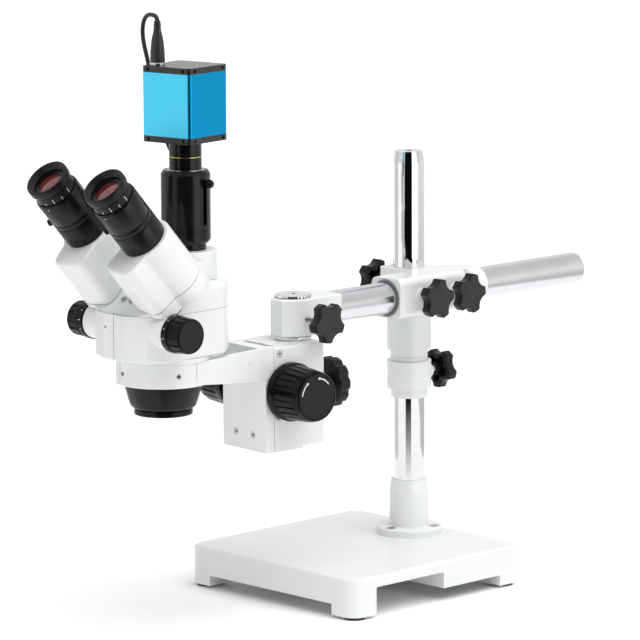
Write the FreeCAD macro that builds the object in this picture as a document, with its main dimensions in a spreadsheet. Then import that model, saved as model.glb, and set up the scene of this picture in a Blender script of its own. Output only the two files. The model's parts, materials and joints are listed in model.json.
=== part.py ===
import FreeCAD, Part
import os, math
from FreeCAD import Vector, Rotation, Placement

# Trinocular stereo microscope on a single-arm boom stand.
# Millimetres. +Z up, -Y is the user's side, +X the user's right.
# Origin: centre of the object's footprint box, on the table.

doc = FreeCAD.newDocument("microscope")
sheet = doc.addObject("Spreadsheet::Sheet", "D")
sheet.Label = "D"


class Q:
    """A size: its spreadsheet expression and its value."""

    def __init__(self, s, v):
        self.s, self.v = s, float(v)

    def _o(self, o):
        return o if isinstance(o, Q) else Q("%.6f" % o, o)

    def __add__(self, o):
        o = self._o(o)
        return Q("(%s+%s)" % (self.s, o.s), self.v + o.v)

    __radd__ = __add__

    def __sub__(self, o):
        o = self._o(o)
        return Q("(%s-(%s))" % (self.s, o.s), self.v - o.v)

    def __rsub__(self, o):
        return self._o(o).__sub__(self)

    def __mul__(self, o):
        o = self._o(o)
        return Q("(%s*%s)" % (self.s, o.s), self.v * o.v)

    __rmul__ = __mul__

    def __truediv__(self, o):
        o = self._o(o)
        return Q("(%s/%s)" % (self.s, o.s), self.v / o.v)

    def __neg__(self):
        return Q("(0-%s)" % self.s, -self.v)


ROW = [1]


def cell(name, value):
    r = ROW[0]
    ROW[0] += 1
    sheet.set("A%d" % r, name)
    sheet.set("B%d" % r, "%.4f" % value)
    sheet.setAlias("B%d" % r, name)
    return Q("D." + name, value)


def val(x):
    return x.v if isinstance(x, Q) else float(x)


# ---------------------------------------------------------------- sizes
off_y = cell("shift_y", 57.5)
base_side = cell("base_side", 237.3)
base_top = cell("base_top", 41.7)
base_low = cell("base_underside", 13.9)
base_rad = cell("base_corner", 16.0)
foot_lift = cell("foot_lift", 3.0)
arch_top = cell("grip_channel_top", 30.4)
arch_y0 = cell("grip_channel_front", -88.0)
arch_y1 = cell("grip_channel_back", 6.0)
leg_len = cell("corner_leg", 31.5)
post_y = cell("pillar_y", 77.7)
post_r = cell("pillar_radius", 16.0)
post_top = cell("pillar_top", 433.0)
sock_top = cell("socket_top", 98.0)
fit = cell("running_gap", 0.05)
boom_x = cell("boom_x", 35.7)
boom_z = cell("boom_z", 294.9)
boom_r = cell("boom_radius", 16.0)
boom_y0 = cell("boom_front", -106.0)
boom_y1 = cell("boom_rear", 285.4)
col_z0 = cell("collar_low", 182.7)
col_z1 = cell("collar_high", 224.8)
clamp_top = cell("clamp_top", 315.0)
slv_y0 = cell("sleeve_front", 8.9)
slv_y1 = cell("sleeve_rear", 137.5)
slv_half = cell("sleeve_half", 20.0)
pin_x = cell("pin_x", 35.7)
pin_y = cell("pin_y", -119.0)
swivel = cell("swivel_rest", -5.0)
blk_half = cell("block_half_width", 33.3)
blk_rear = cell("block_rear", 13.5)
blk_front = cell("block_front", -50.3)
slide_front = cell("carriage_front", -60.9)
blk_z0 = cell("block_low", 168.4)
blk_z1 = cell("block_high", 270.0)
drive_y = cell("drive_y", -34.6)
drive_z = cell("drive_z", 227.0)
arm_len = cell("arm_reach", 158.9)
ring_r = cell("ring_outer_radius", 45.0)
ring_ri = cell("ring_bore_radius", 38.0)
ring_z0 = cell("ring_low", 246.5)
ring_z1 = cell("ring_high", 269.0)
head_x = cell("head_x", 21.851)
head_y = cell("head_y", -277.295)
body_z0 = cell("body_low", 274.0)
body_z1 = cell("body_seam", 318.0)
zoom_y = cell("zoom_y", -35.5)
zoom_z = cell("zoom_z", 303.0)
zoom_x = cell("zoom_boss_x", 55.0)
eye_x = cell("half_eye_spacing", 40.0)
eye_y = cell("tube_foot_y", -20.97)
eye_z = cell("tube_foot_z", 351.17)
eye_tilt = cell("tube_tilt", 42.0)
tube_y = cell("photo_tube_y", 31.2)
tube_r = cell("photo_tube_radius", 23.7)
cube = cell("camera_side", 58.0)
cube_z0 = cell("camera_low", 474.0)
cube_z1 = cell("camera_high", 546.0)
cube_turn = cell("camera_turn_rest", 9.0)
cord_r = cell("cord_radius", 2.1)

doc.recompute()

# ---------------------------------------------------------------- helpers
COUNT = [0]


def uid(n):
    COUNT[0] += 1
    return "%s%d" % (n, COUNT[0])


def bind(o, prop, q):
    if isinstance(q, Q):
        o.setExpression(prop, q.s)
    else:
        parts = prop.split(".")
        t = o
        if len(parts) == 1:
            setattr(o, prop, q)
        else:
            o.setExpression(prop, "%.6f" % q)


AX = {"X": Rotation(Vector(0, 1, 0), 90), "-X": Rotation(Vector(0, 1, 0), -90),
      "Y": Rotation(Vector(1, 0, 0), -90), "-Y": Rotation(Vector(1, 0, 0), 90),
      "Z": Rotation(), "-Z": Rotation(Vector(1, 0, 0), 180)}


def place(o, pos, rot=None):
    if rot is not None:
        o.Placement = Placement(Vector(0, 0, 0), rot)
    for k, q in zip("xyz", pos):
        if isinstance(q, Q):
            o.setExpression("Placement.Base." + k, q.s)
    b = Vector(*[val(q) for q in pos])
    o.Placement = Placement(b, o.Placement.Rotation)
    return o


def cyl(r, h, pos=(0, 0, 0), axis="Z"):
    o = doc.addObject("Part::Cylinder", uid("cyl"))
    bind(o, "Radius", r)
    bind(o, "Height", h)
    return place(o, pos, AX[axis] if isinstance(axis, str) else axis)


def cone(r1, r2, h, pos=(0, 0, 0), axis="Z"):
    o = doc.addObject("Part::Cone", uid("cone"))
    bind(o, "Radius1", r1)
    bind(o, "Radius2", r2)
    bind(o, "Height", h)
    return place(o, pos, AX[axis] if isinstance(axis, str) else axis)


def box(x0, x1, y0, y1, z0, z1):
    o = doc.addObject("Part::Box", uid("box"))
    d = lambda a, b: (b - a)
    bind(o, "Length", d(x0, x1))
    bind(o, "Width", d(y0, y1))
    bind(o, "Height", d(z0, z1))
    return place(o, (x0, y0, z0))


def tor(R, r, pos, axis="Z"):
    o = doc.addObject("Part::Torus", uid("torus"))
    bind(o, "Radius1", R)
    bind(o, "Radius2", r)
    return place(o, pos, AX[axis] if isinstance(axis, str) else axis)


def fuse(*objs):
    o = doc.addObject("Part::MultiFuse", uid("fuse"))
    o.Shapes = list(objs)
    o.Refine = True
    return o


def cut(base, *tools):
    o = doc.addObject("Part::Cut", uid("cut"))
    o.Base = base
    o.Tool = tools[0] if len(tools) == 1 else fuse(*tools)
    o.Refine = True
    return o


def common(a, b):
    o = doc.addObject("Part::Common", uid("common"))
    o.Base, o.Tool = a, b
    return o


def fillet(base, r, pick):
    doc.recompute()
    edges = []
    for i, e in enumerate(base.Shape.Edges):
        if pick(e):
            edges.append((i + 1, r, r))
    o = doc.addObject("Part::Fillet", uid("fillet"))
    o.Base = base
    o.Edges = edges
    doc.recompute()
    if o.Shape.isNull() or not o.Shape.isValid() or "Invalid" in o.State:
        doc.removeObject(o.Name)
        print("fillet left out on", base.Name, r, len(edges))
        return base
    return o


def chamfer(base, c, pick):
    doc.recompute()
    edges = [(i + 1, c, c) for i, e in enumerate(base.Shape.Edges) if pick(e)]
    o = doc.addObject("Part::Chamfer", uid("chamfer"))
    o.Base = base
    o.Edges = edges
    doc.recompute()
    if o.Shape.isNull() or not o.Shape.isValid() or "Invalid" in o.State:
        doc.removeObject(o.Name)
        print("chamfer left out on", base.Name, c, len(edges))
        return base
    return o


def vertical(e):
    a, b = e.Vertexes[0].Point, e.Vertexes[-1].Point
    return abs(a.x - b.x) < 1e-5 and abs(a.y - b.y) < 1e-5 and abs(a.z - b.z) > 1e-3


def at_z(z, tol=1e-3):
    return lambda e: all(abs(v.Point.z - z) < tol for v in e.Vertexes) and abs(
        e.BoundBox.ZMax - z) < tol and abs(e.BoundBox.ZMin - z) < tol


def plane(b, role):
    for f in b.Origin.OriginFeatures:
        if f.Role == role:
            return f


def outline(sk, pts):
    """Closed polygon with every corner held to the spreadsheet."""
    import Sketcher
    n = len(pts)
    v = [Vector(val(x), val(y), 0) for x, y in pts]
    for i in range(n):
        sk.addGeometry(Part.LineSegment(v[i], v[(i + 1) % n]), False)
    for i in range(n):
        sk.addConstraint(Sketcher.Constraint("Coincident", i, 2, (i + 1) % n, 1))
    for i, (x, y) in enumerate(pts):
        for kind, q in (("DistanceX", x), ("DistanceY", y)):
            if abs(val(q)) < 1e-9:
                ax = -2 if kind == "DistanceX" else -1
                sk.addConstraint(Sketcher.Constraint("PointOnObject", i, 1, ax))
            else:
                k = sk.addConstraint(Sketcher.Constraint(kind, -1, 1, i, 1, val(q)))
                if isinstance(q, Q):
                    sk.setExpression("Constraints[%d]" % k, q.s)


def turned(prof, name="turned"):
    """A lathe-turned piece: profile of (radius, height) about Z."""
    b = doc.addObject("PartDesign::Body", uid(name))
    sk = b.newObject("Sketcher::SketchObject", uid("profile"))
    sk.AttachmentSupport = [(plane(b, "XZ_Plane"), "")]
    sk.MapMode = "FlatFace"
    outline(sk, prof)
    doc.recompute()
    rev = b.newObject("PartDesign::Revolution", uid("revolution"))
    rev.Profile = sk
    rev.ReferenceAxis = (sk, ["V_Axis"])
    rev.Angle = 360.0
    doc.recompute()
    return b


def padded(pts, height, name="plate"):
    """A plate: polygon in XY, padded up in Z."""
    b = doc.addObject("PartDesign::Body", uid(name))
    sk = b.newObject("Sketcher::SketchObject", uid("outline"))
    sk.AttachmentSupport = [(plane(b, "XY_Plane"), "")]
    sk.MapMode = "FlatFace"
    outline(sk, pts)
    doc.recompute()
    pad = b.newObject("PartDesign::Pad", uid("pad"))
    pad.Profile = sk
    bind(pad, "Length", height)
    doc.recompute()
    return b


def shaped(shape, name="casting"):
    o = doc.addObject("Part::Feature", uid(name))
    o.Shape = shape
    return o


NODES = []
FR = {
    "stand": ((0, off_y, 0), None),
    "block": ((pin_x, pin_y + off_y, 0), swivel),
    "head": ((head_x, head_y + off_y, 0), None),
    "camera": ((head_x, head_y + tube_y + off_y, 0), cube_turn),
}


def node(o, label, frame="stand", extra=None):
    """Name a finished piece and set it in its frame."""
    o.Label = label
    pos, ang = FR[frame]
    own = o.Placement
    for k in "xyz":
        o.setExpression("Placement.Base." + k, None)
    o.Placement = own
    rot = Rotation(Vector(0, 0, 1), val(ang)) if ang is not None else Rotation()
    base = Vector(*[val(q) for q in pos])
    fr = Placement(base, rot)
    if extra is None and own.isIdentity():
        place(o, pos, rot)
    else:
        o.Placement = fr.multiply(extra if extra is not None else own)
    NODES.append(o)
    return o


def compound(objs, label, frame="stand"):
    """Identical fasteners or a matched set kept in one node as separate solids."""
    o = doc.addObject("Part::Compound", uid("set"))
    o.Links = objs
    return node(o, label, frame)


def poly_face(pts, z=0.0):
    w = Part.makePolygon([Vector(x, y, z) for x, y in pts] + [Vector(pts[0][0], pts[0][1], z)])
    return Part.Face(w)


def smooth_wire(pts, z=0.0):
    """Closed smooth outline through the points."""
    c = Part.BSplineCurve()
    c.interpolate([Vector(x, y, z) for x, y in pts], PeriodicFlag=True)
    return Part.Wire(c.toShape())


def V(x, y, z):
    return Vector(x, y, z)


def ring_of(make, n, r, start=0.0, cx=0.0, cy=0.0):
    out = []
    for i in range(n):
        a = math.radians(start + 360.0 * i / n)
        out.append(make(cx + r * math.cos(a), cy + r * math.sin(a)))
    return out


def hexcut(af, depth, top, x=0.0, y=0.0):
    """Hexagon socket, opening upward at z = top."""
    r = af / math.sqrt(3)
    pts = [(x + r * math.cos(math.radians(60 * i)), y + r * math.sin(math.radians(60 * i))) for i in range(6)]
    return poly_face(pts, top - depth).extrude(V(0, 0, depth + 1))


def cap_screw(rh, hh, rs, ls, af):
    """Socket head screw: seat at z = 0, head above, shank below."""
    s = Part.makeCylinder(rh, hh).fuse(Part.makeCylinder(rs, ls, V(0, 0, -ls)))
    s = s.removeSplitter().cut(hexcut(af, hh * 0.6, hh))
    return s


def flat_screw(rh, rs, ls, af):
    """Countersunk screw: top flush with z = 0, shank down."""
    d = rh - rs
    s = Part.makeCone(rs, rh, d, V(0, 0, -d)).fuse(Part.makeCylinder(rs, ls - d, V(0, 0, -ls)))
    return s.removeSplitter().cut(hexcut(af, d * 0.8, 0.0))


def stud_knob(stud, rs, hub=8.0, neck=4.0, lobe=18.0):
    """Five-lobed clamp knob, outer face at z = 0, stud along -Z."""
    t = 10.5
    s = Part.makeCylinder(20.0, t, V(0, 0, -t))
    for i in range(5):
        a = math.radians(72 * i + 36 + lobe)
        s = s.cut(Part.makeCylinder(11.6, t + 2, V(26.7 * math.cos(a), 26.7 * math.sin(a), -t - 1)))
    try:
        s2 = s.makeFillet(1.3, [e for e in s.Edges if e.BoundBox.ZLength > t - 0.1])
        s = s2 if s2.isValid() else s
        s2 = s.makeFillet(0.9, [e for e in s.Edges if abs(e.BoundBox.ZMin) < 1e-6 and abs(e.BoundBox.ZMax) < 1e-6])
        s = s2 if s2.isValid() else s
    except Exception as err:
        print("knob edge left sharp", err)
    hollow = Part.makeCylinder(12.8, t - 2.6, V(0, 0, -t - 0.01)).cut(Part.makeCylinder(hub - 1.4, t, V(0, 0, -t - 0.01)))
    s = s.cut(hollow)
    s = s.fuse(Part.makeCylinder(hub - 1.4, neck, V(0, 0, -t - neck))).removeSplitter()
    s = s.fuse(Part.makeCylinder(rs, stud, V(0, 0, -t - neck - stud))).removeSplitter()
    return s


def star(label, pos, axis, stud, rs=3.0, frame="stand", neck=4.0, lobe=18.0):
    o = shaped(stud_knob(stud, rs, neck=neck, lobe=lobe), "knob")
    return node(o, label, frame, Placement(V(*pos), AX[axis]))


# ---------------------------------------------------------------- stand
h = base_side / 2
plate = box(-h, h, -h, h, foot_lift, base_top)
plate = fillet(plate, base_rad.v, vertical)
plate = fillet(plate, 3.0, at_z(base_top.v))
leg = h - leg_len
inn = h - 7.0
doc.recompute()
plate = cut(
    plate,
    box(-leg, leg, -h - 1, h + 1, 0, base_low),
    box(-h - 1, h + 1, -leg, leg, 0, base_low),
    box(-leg, leg, -inn, inn, 0, base_top - 7.0),
    box(-inn, inn, -leg, leg, 0, base_top - 7.0),
    box(-h - 1, h + 1, arch_y0, arch_y1, 0, arch_top),
)
rib_h = base_top - 6.0
plate = fuse(
    plate,
    box(-inn - 1, inn + 1, arch_y1, arch_y1 + 7.0, base_low, rib_h),
    box(-3.5, 3.5, arch_y1 + 1, inn + 1, base_low, rib_h),
    cyl(34.0, rib_h - base_low, (0, post_y, base_low)),
)
sr = 26.5
sa = [math.radians(a) for a in (-90, 30, 150)]
plate = cut(
    plate,
    *[cyl(2.5, 16.0, (sr * math.cos(a), post_y + sr * math.sin(a), base_top - 15.0)) for a in sa],
    *[cyl(4.0, 6.0, (i * 105.0, j * 105.0, foot_lift)) for i in (-1, 1) for j in (-1, 1)],
    cyl(6.0, 40.0, (0, post_y, 10.0)),
)
node(plate, "base_plate")

feet = []
for i in (-1, 1):
    for j in (-1, 1):
        f = fuse(cyl(10.0, foot_lift, (i * 105.0, j * 105.0, 0)), cyl(4.0, 6.0 + foot_lift, (i * 105.0, j * 105.0, 0)))
        feet.append(f)
compound(feet, "rubber_feet")

sock = turned([(post_r, base_top), (33.0, base_top), (33.0, base_top + 6.6), (31.8, base_top + 7.8),
               (20.6, base_top + 7.8), (20.0, base_top + 8.6), (20.0, sock_top - 12.0), (18.25, sock_top), (post_r, sock_top)], "socket")
place(sock, (0, post_y, 0))
sock = cut(sock, *[cyl(2.5, 12.0, (sr * math.cos(a), post_y + sr * math.sin(a), base_top - 1.0)) for a in sa],
           *[cyl(4.8, 6.0, (sr * math.cos(a), post_y + sr * math.sin(a), base_top + 5.0)) for a in sa])
node(sock, "pillar_socket")

scr = []
for a in sa:
    o = shaped(cap_screw(4.5, 3.4, 2.5, 17.0, 3.0), "screw")
    place(o, (sr * math.cos(a), post_y.v + sr * math.sin(a), base_top.v + 5.0))
    scr.append(o)
compound(scr, "socket_screws")

post = turned([(12.5, base_top), (post_r, base_top), (post_r, post_top - 11.0), (14.0, post_top), (3.0, post_top),
               (3.0, post_top - 14.0), (12.5, post_top - 14.0)], "pillar")
place(post, (0, post_y, 0))
node(post, "pillar")

# ---------------------------------------------------------------- safety collar
cb = post_r + fit
col = turned([(cb, col_z0), (18.5, col_z0), (18.5, col_z0 + 9.2), (22.5, col_z0 + 9.2), (22.5, col_z1 - 4.8),
              (19.0, col_z1 - 4.8), (19.0, col_z1), (cb, col_z1)], "collar")
place(col, (0, post_y, 0))
ck = 206.0
col = fuse(col, cyl(8.5, 9.0, (0, post_y + 18.0, ck), "Y"))
col = cut(col, cyl(3.05, 30.0, (0, post_y + 12.0, ck), "Y"), cyl(cb, 60.0, (0, post_y, 175.0)))
node(col, "safety_collar")
star("collar_knob", (0, post_y.v + 50.0, ck), "Y", 19.0)

# ---------------------------------------------------------------- cross clamp
by = boom_x
low = turned([(cb, col_z1 + 0.3), (19.0, col_z1 + 0.3), (19.0, 232.0), (22.5, 232.0), (22.5, 276.0), (cb, 276.0)], "barrel")
place(low, (0, post_y, 0))
s0, s1 = boom_x - slv_half, boom_x + slv_half
hub = box(-23.0, boom_x, post_y - 23.0, post_y + 23.0, 275.0, clamp_top)
hub = fillet(hub, 9.0, lambda e: vertical(e) and e.BoundBox.XMax < -20)
slv = box(s0, s1, slv_y0, 104.0, 275.0, clamp_top)
doc.recompute()
nose = common(box(s0, s1, 103.0, slv_y1, 275.0, clamp_top), cone(29.0, 17.6, slv_y1 - 102.0, (boom_x, 102.0, boom_z), "Y"))
slv = fillet(slv, 7.0, lambda e: e.BoundBox.YLength > 50)
clamp = fuse(low, hub, slv, nose,
             cyl(8.5, 3.0, (s1 - 1.0, 39.5, 295.0), "X"), cyl(8.5, 3.0, (s1 - 1.0, 86.7, 295.0), "X"),
             cyl(8.5, 4.0, (-26.0, post_y, 297.5), "X"))
clamp = cut(clamp,
            cyl(cb, 110.0, (0, post_y, 220.0)),
            cyl(boom_r + fit, slv_y1 - slv_y0 + 4.0, (boom_x, slv_y0 - 2.0, boom_z), "Y"),
            cyl(18.9, 7.0, (boom_x, slv_y0 - 1.0, boom_z), "Y"),
            cone(17.8, 16.0, 1.8, (0, post_y, clamp_top - 1.8 + 0.001), "-Z"),
            cyl(3.05, 30.0, (boom_x + 10.0, 39.5, 295.0), "X"),
            cyl(3.05, 30.0, (boom_x + 10.0, 86.7, 295.0), "X"),
            cyl(3.05, 30.0, (-10.0, post_y, 297.5), "-X"))
node(clamp, "cross_clamp")
bush = turned([(16.05, 0.0), (17.0, -0.6), (18.3, -0.6), (18.88, 0.0), (18.88, 5.95), (16.05, 5.95)], "bush")
node(bush, "boom_bush", "stand", Placement(V(boom_x.v, slv_y0.v, boom_z.v), AX["Y"]))
star("pillar_lock_knob", (-54.0, post_y.v, 297.5), "-X", 23.1)
star("boom_knob_front", (82.0, 39.5, 295.0), "X", 15.3, lobe=26.0)
star("boom_knob_rear", (80.0, 86.7, 295.0), "X", 13.3, lobe=22.0)

# ---------------------------------------------------------------- boom
tube = turned([(0, 0), (12.0, 0), (12.0, 35.3), (boom_r, 35.3), (boom_r, boom_y1 + 103.2), (boom_r - 0.8, boom_y1 + 105.2), (boom_r - 2.4, boom_y1 + 106.0),
               (boom_r - 3.0, boom_y1 + 106.0), (boom_r - 3.0, 66.0), (0, 66.0)], "boom")
node(tube, "boom_tube", "stand", Placement(V(boom_x.v, boom_y0.v, boom_z.v), AX["Y"]))

eb = padded([(-8.0, -142.0), (8.0, -142.0), (20.0, -124.5), (20.0, -71.0), (-20.0, -71.0), (-20.0, -124.5)], 37.0, "endblock")
place(eb, (boom_x, 0, 274.0))
eb = fillet(eb, 2.2, lambda e: True)
eb = cut(eb, cyl(12.05, 45.0, (boom_x, -106.4, boom_z), "Y"),
         cyl(8.05, 50.0, (pin_x, pin_y, 270.0)),
         cyl(3.05, 30.0, (pin_x, pin_y, 291.0), "X"))
node(eb, "end_block")
star("swivel_knob", (88.0, pin_y.v, 291.0), "X", 28.8, lobe=-5.0)

# ---------------------------------------------------------------- focus block
pin = turned([(0, 246.0), (8.0, 246.0), (8.0, blk_z1), (17.5, blk_z1), (18.0, blk_z1 + 0.6), (18.0, 273.1), (17.4, 273.7),
              (8.0, 273.7), (8.0, 311.3), (0, 311.3)], "pin")
node(pin, "swivel_pin", "block")
capd = turned([(0, 311.3), (17.6, 311.3), (18.25, 311.9), (18.25, 313.5), (17.6, 314.1), (4.0, 314.1), (4.0, 313.6), (0, 313.6)], "pincap")
node(capd, "pin_cap", "block")

hs = box(-blk_half, blk_half, blk_front, blk_rear, blk_z0, blk_z1)
hs = fillet(hs, 5.0, lambda e: vertical(e) and e.BoundBox.YMax > 0)
hs = fillet(hs, 1.5, at_z(blk_z1.v))
guide = padded([(-17.3, -50.4), (17.3, -50.4), (21.6, -41.9), (-21.6, -41.9)], 120.0, "guide")
place(guide, (0, 0, 160.0))
hs = cut(hs, guide,
         box(-10.0, 10.0, -43.0, -26.0, 205.0, 249.0),
         box(-3.9, 3.9, -43.0, -39.8, 160.0, 285.0),
         cyl(4.05, 80.0, (-40.0, drive_y, drive_z), "X"),
         cyl(8.0, 40.0, (0, 0, 246.0)),
         cyl(4.05, 40.0, (0, -20.0, 222.0), "Y"),
         box(-26.0, 26.0, -24.0, 8.0, 160.0, 205.0),
         box(-40.0, 40.0, -14.5, 20.0, 160.0, 171.0),
         cyl(2.0, 20.0, (blk_half - 15.0, -43.5, 264.0), "X"), cyl(2.0, 20.0, (blk_half - 15.0, -45.0, 201.0), "X"),
         cone(2.0, 4.2, 2.2, (blk_half - 2.2, -43.5, 264.0), "X"), cone(2.0, 4.2, 2.2, (blk_half - 2.2, -45.0, 201.0), "X"))
node(hs, "focus_housing", "block")
gs = []
for y, z in ((-43.5, 264.0), (-45.0, 201.0)):
    o = shaped(flat_screw(4.2, 2.0, 11.0, 2.5), "screw")
    o.Placement = Placement(V(blk_half.v, y, z), AX["X"])
    gs.append(o)
compound(gs, "housing_screws", "block")

tk = Part.makeCylinder(24.8, 12.0, V(0, 0, -12))
for i in range(10):
    a = math.radians(36 * i + 18)
    tk = tk.cut(Part.makeCylinder(5.0, 14.0, V(28.0 * math.cos(a), 28.0 * math.sin(a), -13)))
tk = tk.cut(Part.makeCylinder(14.0, 1.0, V(0, 0, -1.0)))
tk = tk.fuse(Part.makeCylinder(9.0, 27.6, V(0, 0, -38.4))).removeSplitter()
tk = tk.fuse(Part.makeCylinder(4.0, 66.4, V(0, 0, -70.4))).removeSplitter()
node(shaped(tk, "tension"), "tension_knob", "block", Placement(V(0, 52.4, 222.0), AX["Y"]))

# ---------------------------------------------------------------- arm and ring (one casting)
A = -arm_len.v
sf, hf = slide_front.v, blk_half.v
plan = poly_face([(-hf, sf + 1.0), (hf, sf + 1.0), (hf, sf), (44.2, A + 8.2), (40, A - 15), (-40, A - 15), (-44.2, A + 8.2), (-hf, sf)], 230.0).extrude(V(0, 0, 50))
side = [(sf + 1.0, 239.0), (A + 8.2, 247.5), (A - 20, 248.5), (A - 20, 269.0), (A + 8.2, 269.3), (sf, 270.8), (sf + 1.0, 270.8)]
w = Part.makePolygon([V(-70, y, z) for y, z in side] + [V(-70, side[0][0], side[0][1])])
arm = plan.common(Part.Face(w).extrude(V(140, 0, 0)))
arm = arm.cut(Part.makeCylinder(44.9, 60, V(0, A, 225)))
pock = poly_face([(-26.3, sf - 4.0), (26.3, sf - 4.0), (36.8, A + 8.2), (-36.8, A + 8.2)], 253.0).extrude(V(0, 0, 30))
pock = pock.cut(Part.makeCylinder(ring_r.v, 60, V(0, A, 240)))
arm = arm.cut(pock)
plate2 = Part.makeBox(2 * hf, -50.9 - sf, 270.8 - 168.3, V(-hf, sf, 168.3))
rg = Part.makeCylinder(ring_r.v, ring_z1.v - ring_z0.v, V(0, A, ring_z0.v))
arm = arm.fuse([plate2, rg]).removeSplitter()
arm = arm.cut(Part.makeCylinder(ring_ri.v, 80, V(0, A, 220)))
for x, z in ((-13, 184), (13, 184)):
    arm = arm.cut(Part.makeCylinder(2.0, 14, V(x, sf - 1, z), V(0, 1, 0)))
    arm = arm.cut(Part.makeCylinder(3.6, 4.0, V(x, sf - 1, z), V(0, 1, 0)))
arm = arm.cut(Part.makeCylinder(1.6, 12, V(36, -84.0, 259.0), V(-1, 0, 0)))
arm = arm.cut(Part.makeCylinder(1.5, 3, V(-7.9, sf - 1, 266.7), V(0, 1, 0)))
gr_dir = [math.radians(a) for a in (-96.0, -18.0)]
for a in gr_dir:
    d = V(math.cos(a), math.sin(a), 0)
    arm = arm.cut(Part.makeCylinder(2.5, 14, V(0, A, 258.0) + d * 36.0, d))
arm = arm.cut(Part.makeCylinder(46.4, 20, V(0, A, ring_z1.v + 0.02)))
a2 = arm.removeSplitter()
arm = a2 if a2.isValid() else arm
try:
    top_e = [e for e in arm.Edges if e.BoundBox.ZMin > 268.9 and e.BoundBox.ZMax < 270.9 and e.Length > 15]
    a3 = arm.makeFillet(0.8, top_e)
    arm = a3 if a3.isValid() and len(a3.Solids) == 1 else arm
except Exception as err:
    print("arm edges left sharp", err)
node(shaped(arm, "arm"), "head_arm", "block")

dv = padded([(-17.0, -50.9), (17.0, -50.9), (20.95, -42.3), (-20.95, -42.3)], 82.4, "dovetail")
place(dv, (0, 0, 170.0))
dv = cut(dv, *[cyl(2.0, 12.0, (x, -52.0, z), "Y") for x, z in ((-13, 184), (13, 184))])
node(dv, "dovetail_slide", "block")

rk = Part.makeBox(7.0, 1.9, 54.4, V(-3.5, -42.3, 198.0))
for i in range(27):
    z = 199.0 + 2.0 * i
    t = Part.makePolygon([V(-4, -41.3, z), V(-4, -40.3, z - 0.55), V(-4, -40.3, z + 0.55), V(-4, -41.3, z)])
    rk = rk.cut(Part.Face(t).extrude(V(8, 0, 0)))
node(shaped(rk, "rack"), "gear_rack", "block")

asx = []
for x, z in ((-13, 184), (13, 184)):
    o = shaped(cap_screw(3.5, 2.6, 2.0, 9.6, 2.5), "screw")
    o.Placement = Placement(V(x, sf + 3.0, z), AX["-Y"])
    asx.append(o)
for a in gr_dir:
    d = V(math.cos(a), math.sin(a), 0)
    o = shaped(Part.makeCylinder(2.5, 5.6).cut(hexcut(2.5, 2.5, 5.6)), "screw")
    o.Placement = Placement(V(0, A, 258.0) + d * 38.4, Rotation(V(0, 0, 1), d))
    asx.append(o)
compound(asx, "arm_screws", "block")

sh = Part.makeCylinder(4.0, 146.0, V(-73.0, 0, 0), V(1, 0, 0))
gear = Part.makeCylinder(5.3, 6.6, V(-3.3, 0, 0), V(1, 0, 0))
for i in range(14):
    a = 2 * math.pi * (i + 0.5) / 14
    t = Part.makeCylinder(0.55, 8.0, V(-4, 5.35 * math.cos(a), 5.35 * math.sin(a)), V(1, 0, 0))
    gear = gear.cut(t)
sh = sh.fuse(gear).removeSplitter()
node(shaped(sh, "shaft"), "focus_shaft", "block", Placement(V(0, drive_y.v, drive_z.v), Rotation()))


def grip(prof, ribs, rib_r0, rib_r1, z0, z1, depth):
    """Turned knob about Z with shallow grip grooves between z0 and z1."""
    pts = [V(r, 0, z) for r, z in prof]
    s = Part.Face(Part.makePolygon(pts + [pts[0]])).revolve(V(0, 0, 0), V(0, 0, 1), 360)
    for i in range(ribs):
        a = 2 * math.pi * i / ribs
        p = V(rib_r0 * math.cos(a), rib_r0 * math.sin(a), z0)
        q = V(rib_r1 * math.cos(a), rib_r1 * math.sin(a), z1)
        s = s.cut(Part.makeCylinder(depth, (q - p).Length, p, q - p))
    return s


fk_prof = [(4.0, 0.0), (10.0, 0.0), (10.0, 4.0), (24.5, 4.0), (24.5, 0.0), (28.5, 0.0), (28.5, 8.5), (26.9, 10.0), (24.9, 38.0),
           (24.4, 39.5), (23.75, 41.0), (23.2, 43.0), (16.0, 43.0), (16.0, 42.4), (0.0, 42.4), (0.0, 38.0), (4.0, 38.0)]
for sgn, nm in ((-1, "left"), (1, "right")):
    o = shaped(grip(fk_prof, 28, 27.4, 25.6, 11.0, 37.0, 0.9), "focusknob")
    node(o, "focus_knob_" + nm, "block", Placement(V(sgn * 36.3, drive_y.v, drive_z.v), AX["X" if sgn > 0 else "-X"]))

# ---------------------------------------------------------------- head
ob = turned([(22.0, 274.0), (46.0, 274.0), (46.0, ring_z1 + 0.3), (ring_ri - fit, ring_z1 + 0.3), (ring_ri - fit, 247.7), (37.6, 247.7),
             (36.9, 242.6), (33.3, 229.4), (31.9, 225.2), (30.6, 223.2), (28.4, 222.0), (26.9, 221.5), (26.9, 220.9), (28.0, 220.5), (28.0, 216.3), (27.4, 215.7), (24.0, 215.7),
             (24.0, 221.5), (22.0, 221.5)], "objective")
node(ob, "objective_housing", "head")
ln = turned([(0, 221.8), (22.0, 221.8), (22.0, 232.0), (0, 234.5)], "lens")
node(ln, "objective_lens", "head")

half = [(14, -62), (38, -52), (45, -36), (46, 0), (44, 40), (26, 62)]
out = half + [(-x, y) for x, y in reversed(half)]
out[0:0] = []


def body_prism(off, z0, z1):
    pts = []
    for x, y in out:
        l = math.hypot(x, y)
        pts.append((x - off * x / l * 1.05, y - off * y / l * 1.05))
    return poly_face(pts, z0).extrude(V(0, 0, z1 - z0))


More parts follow.
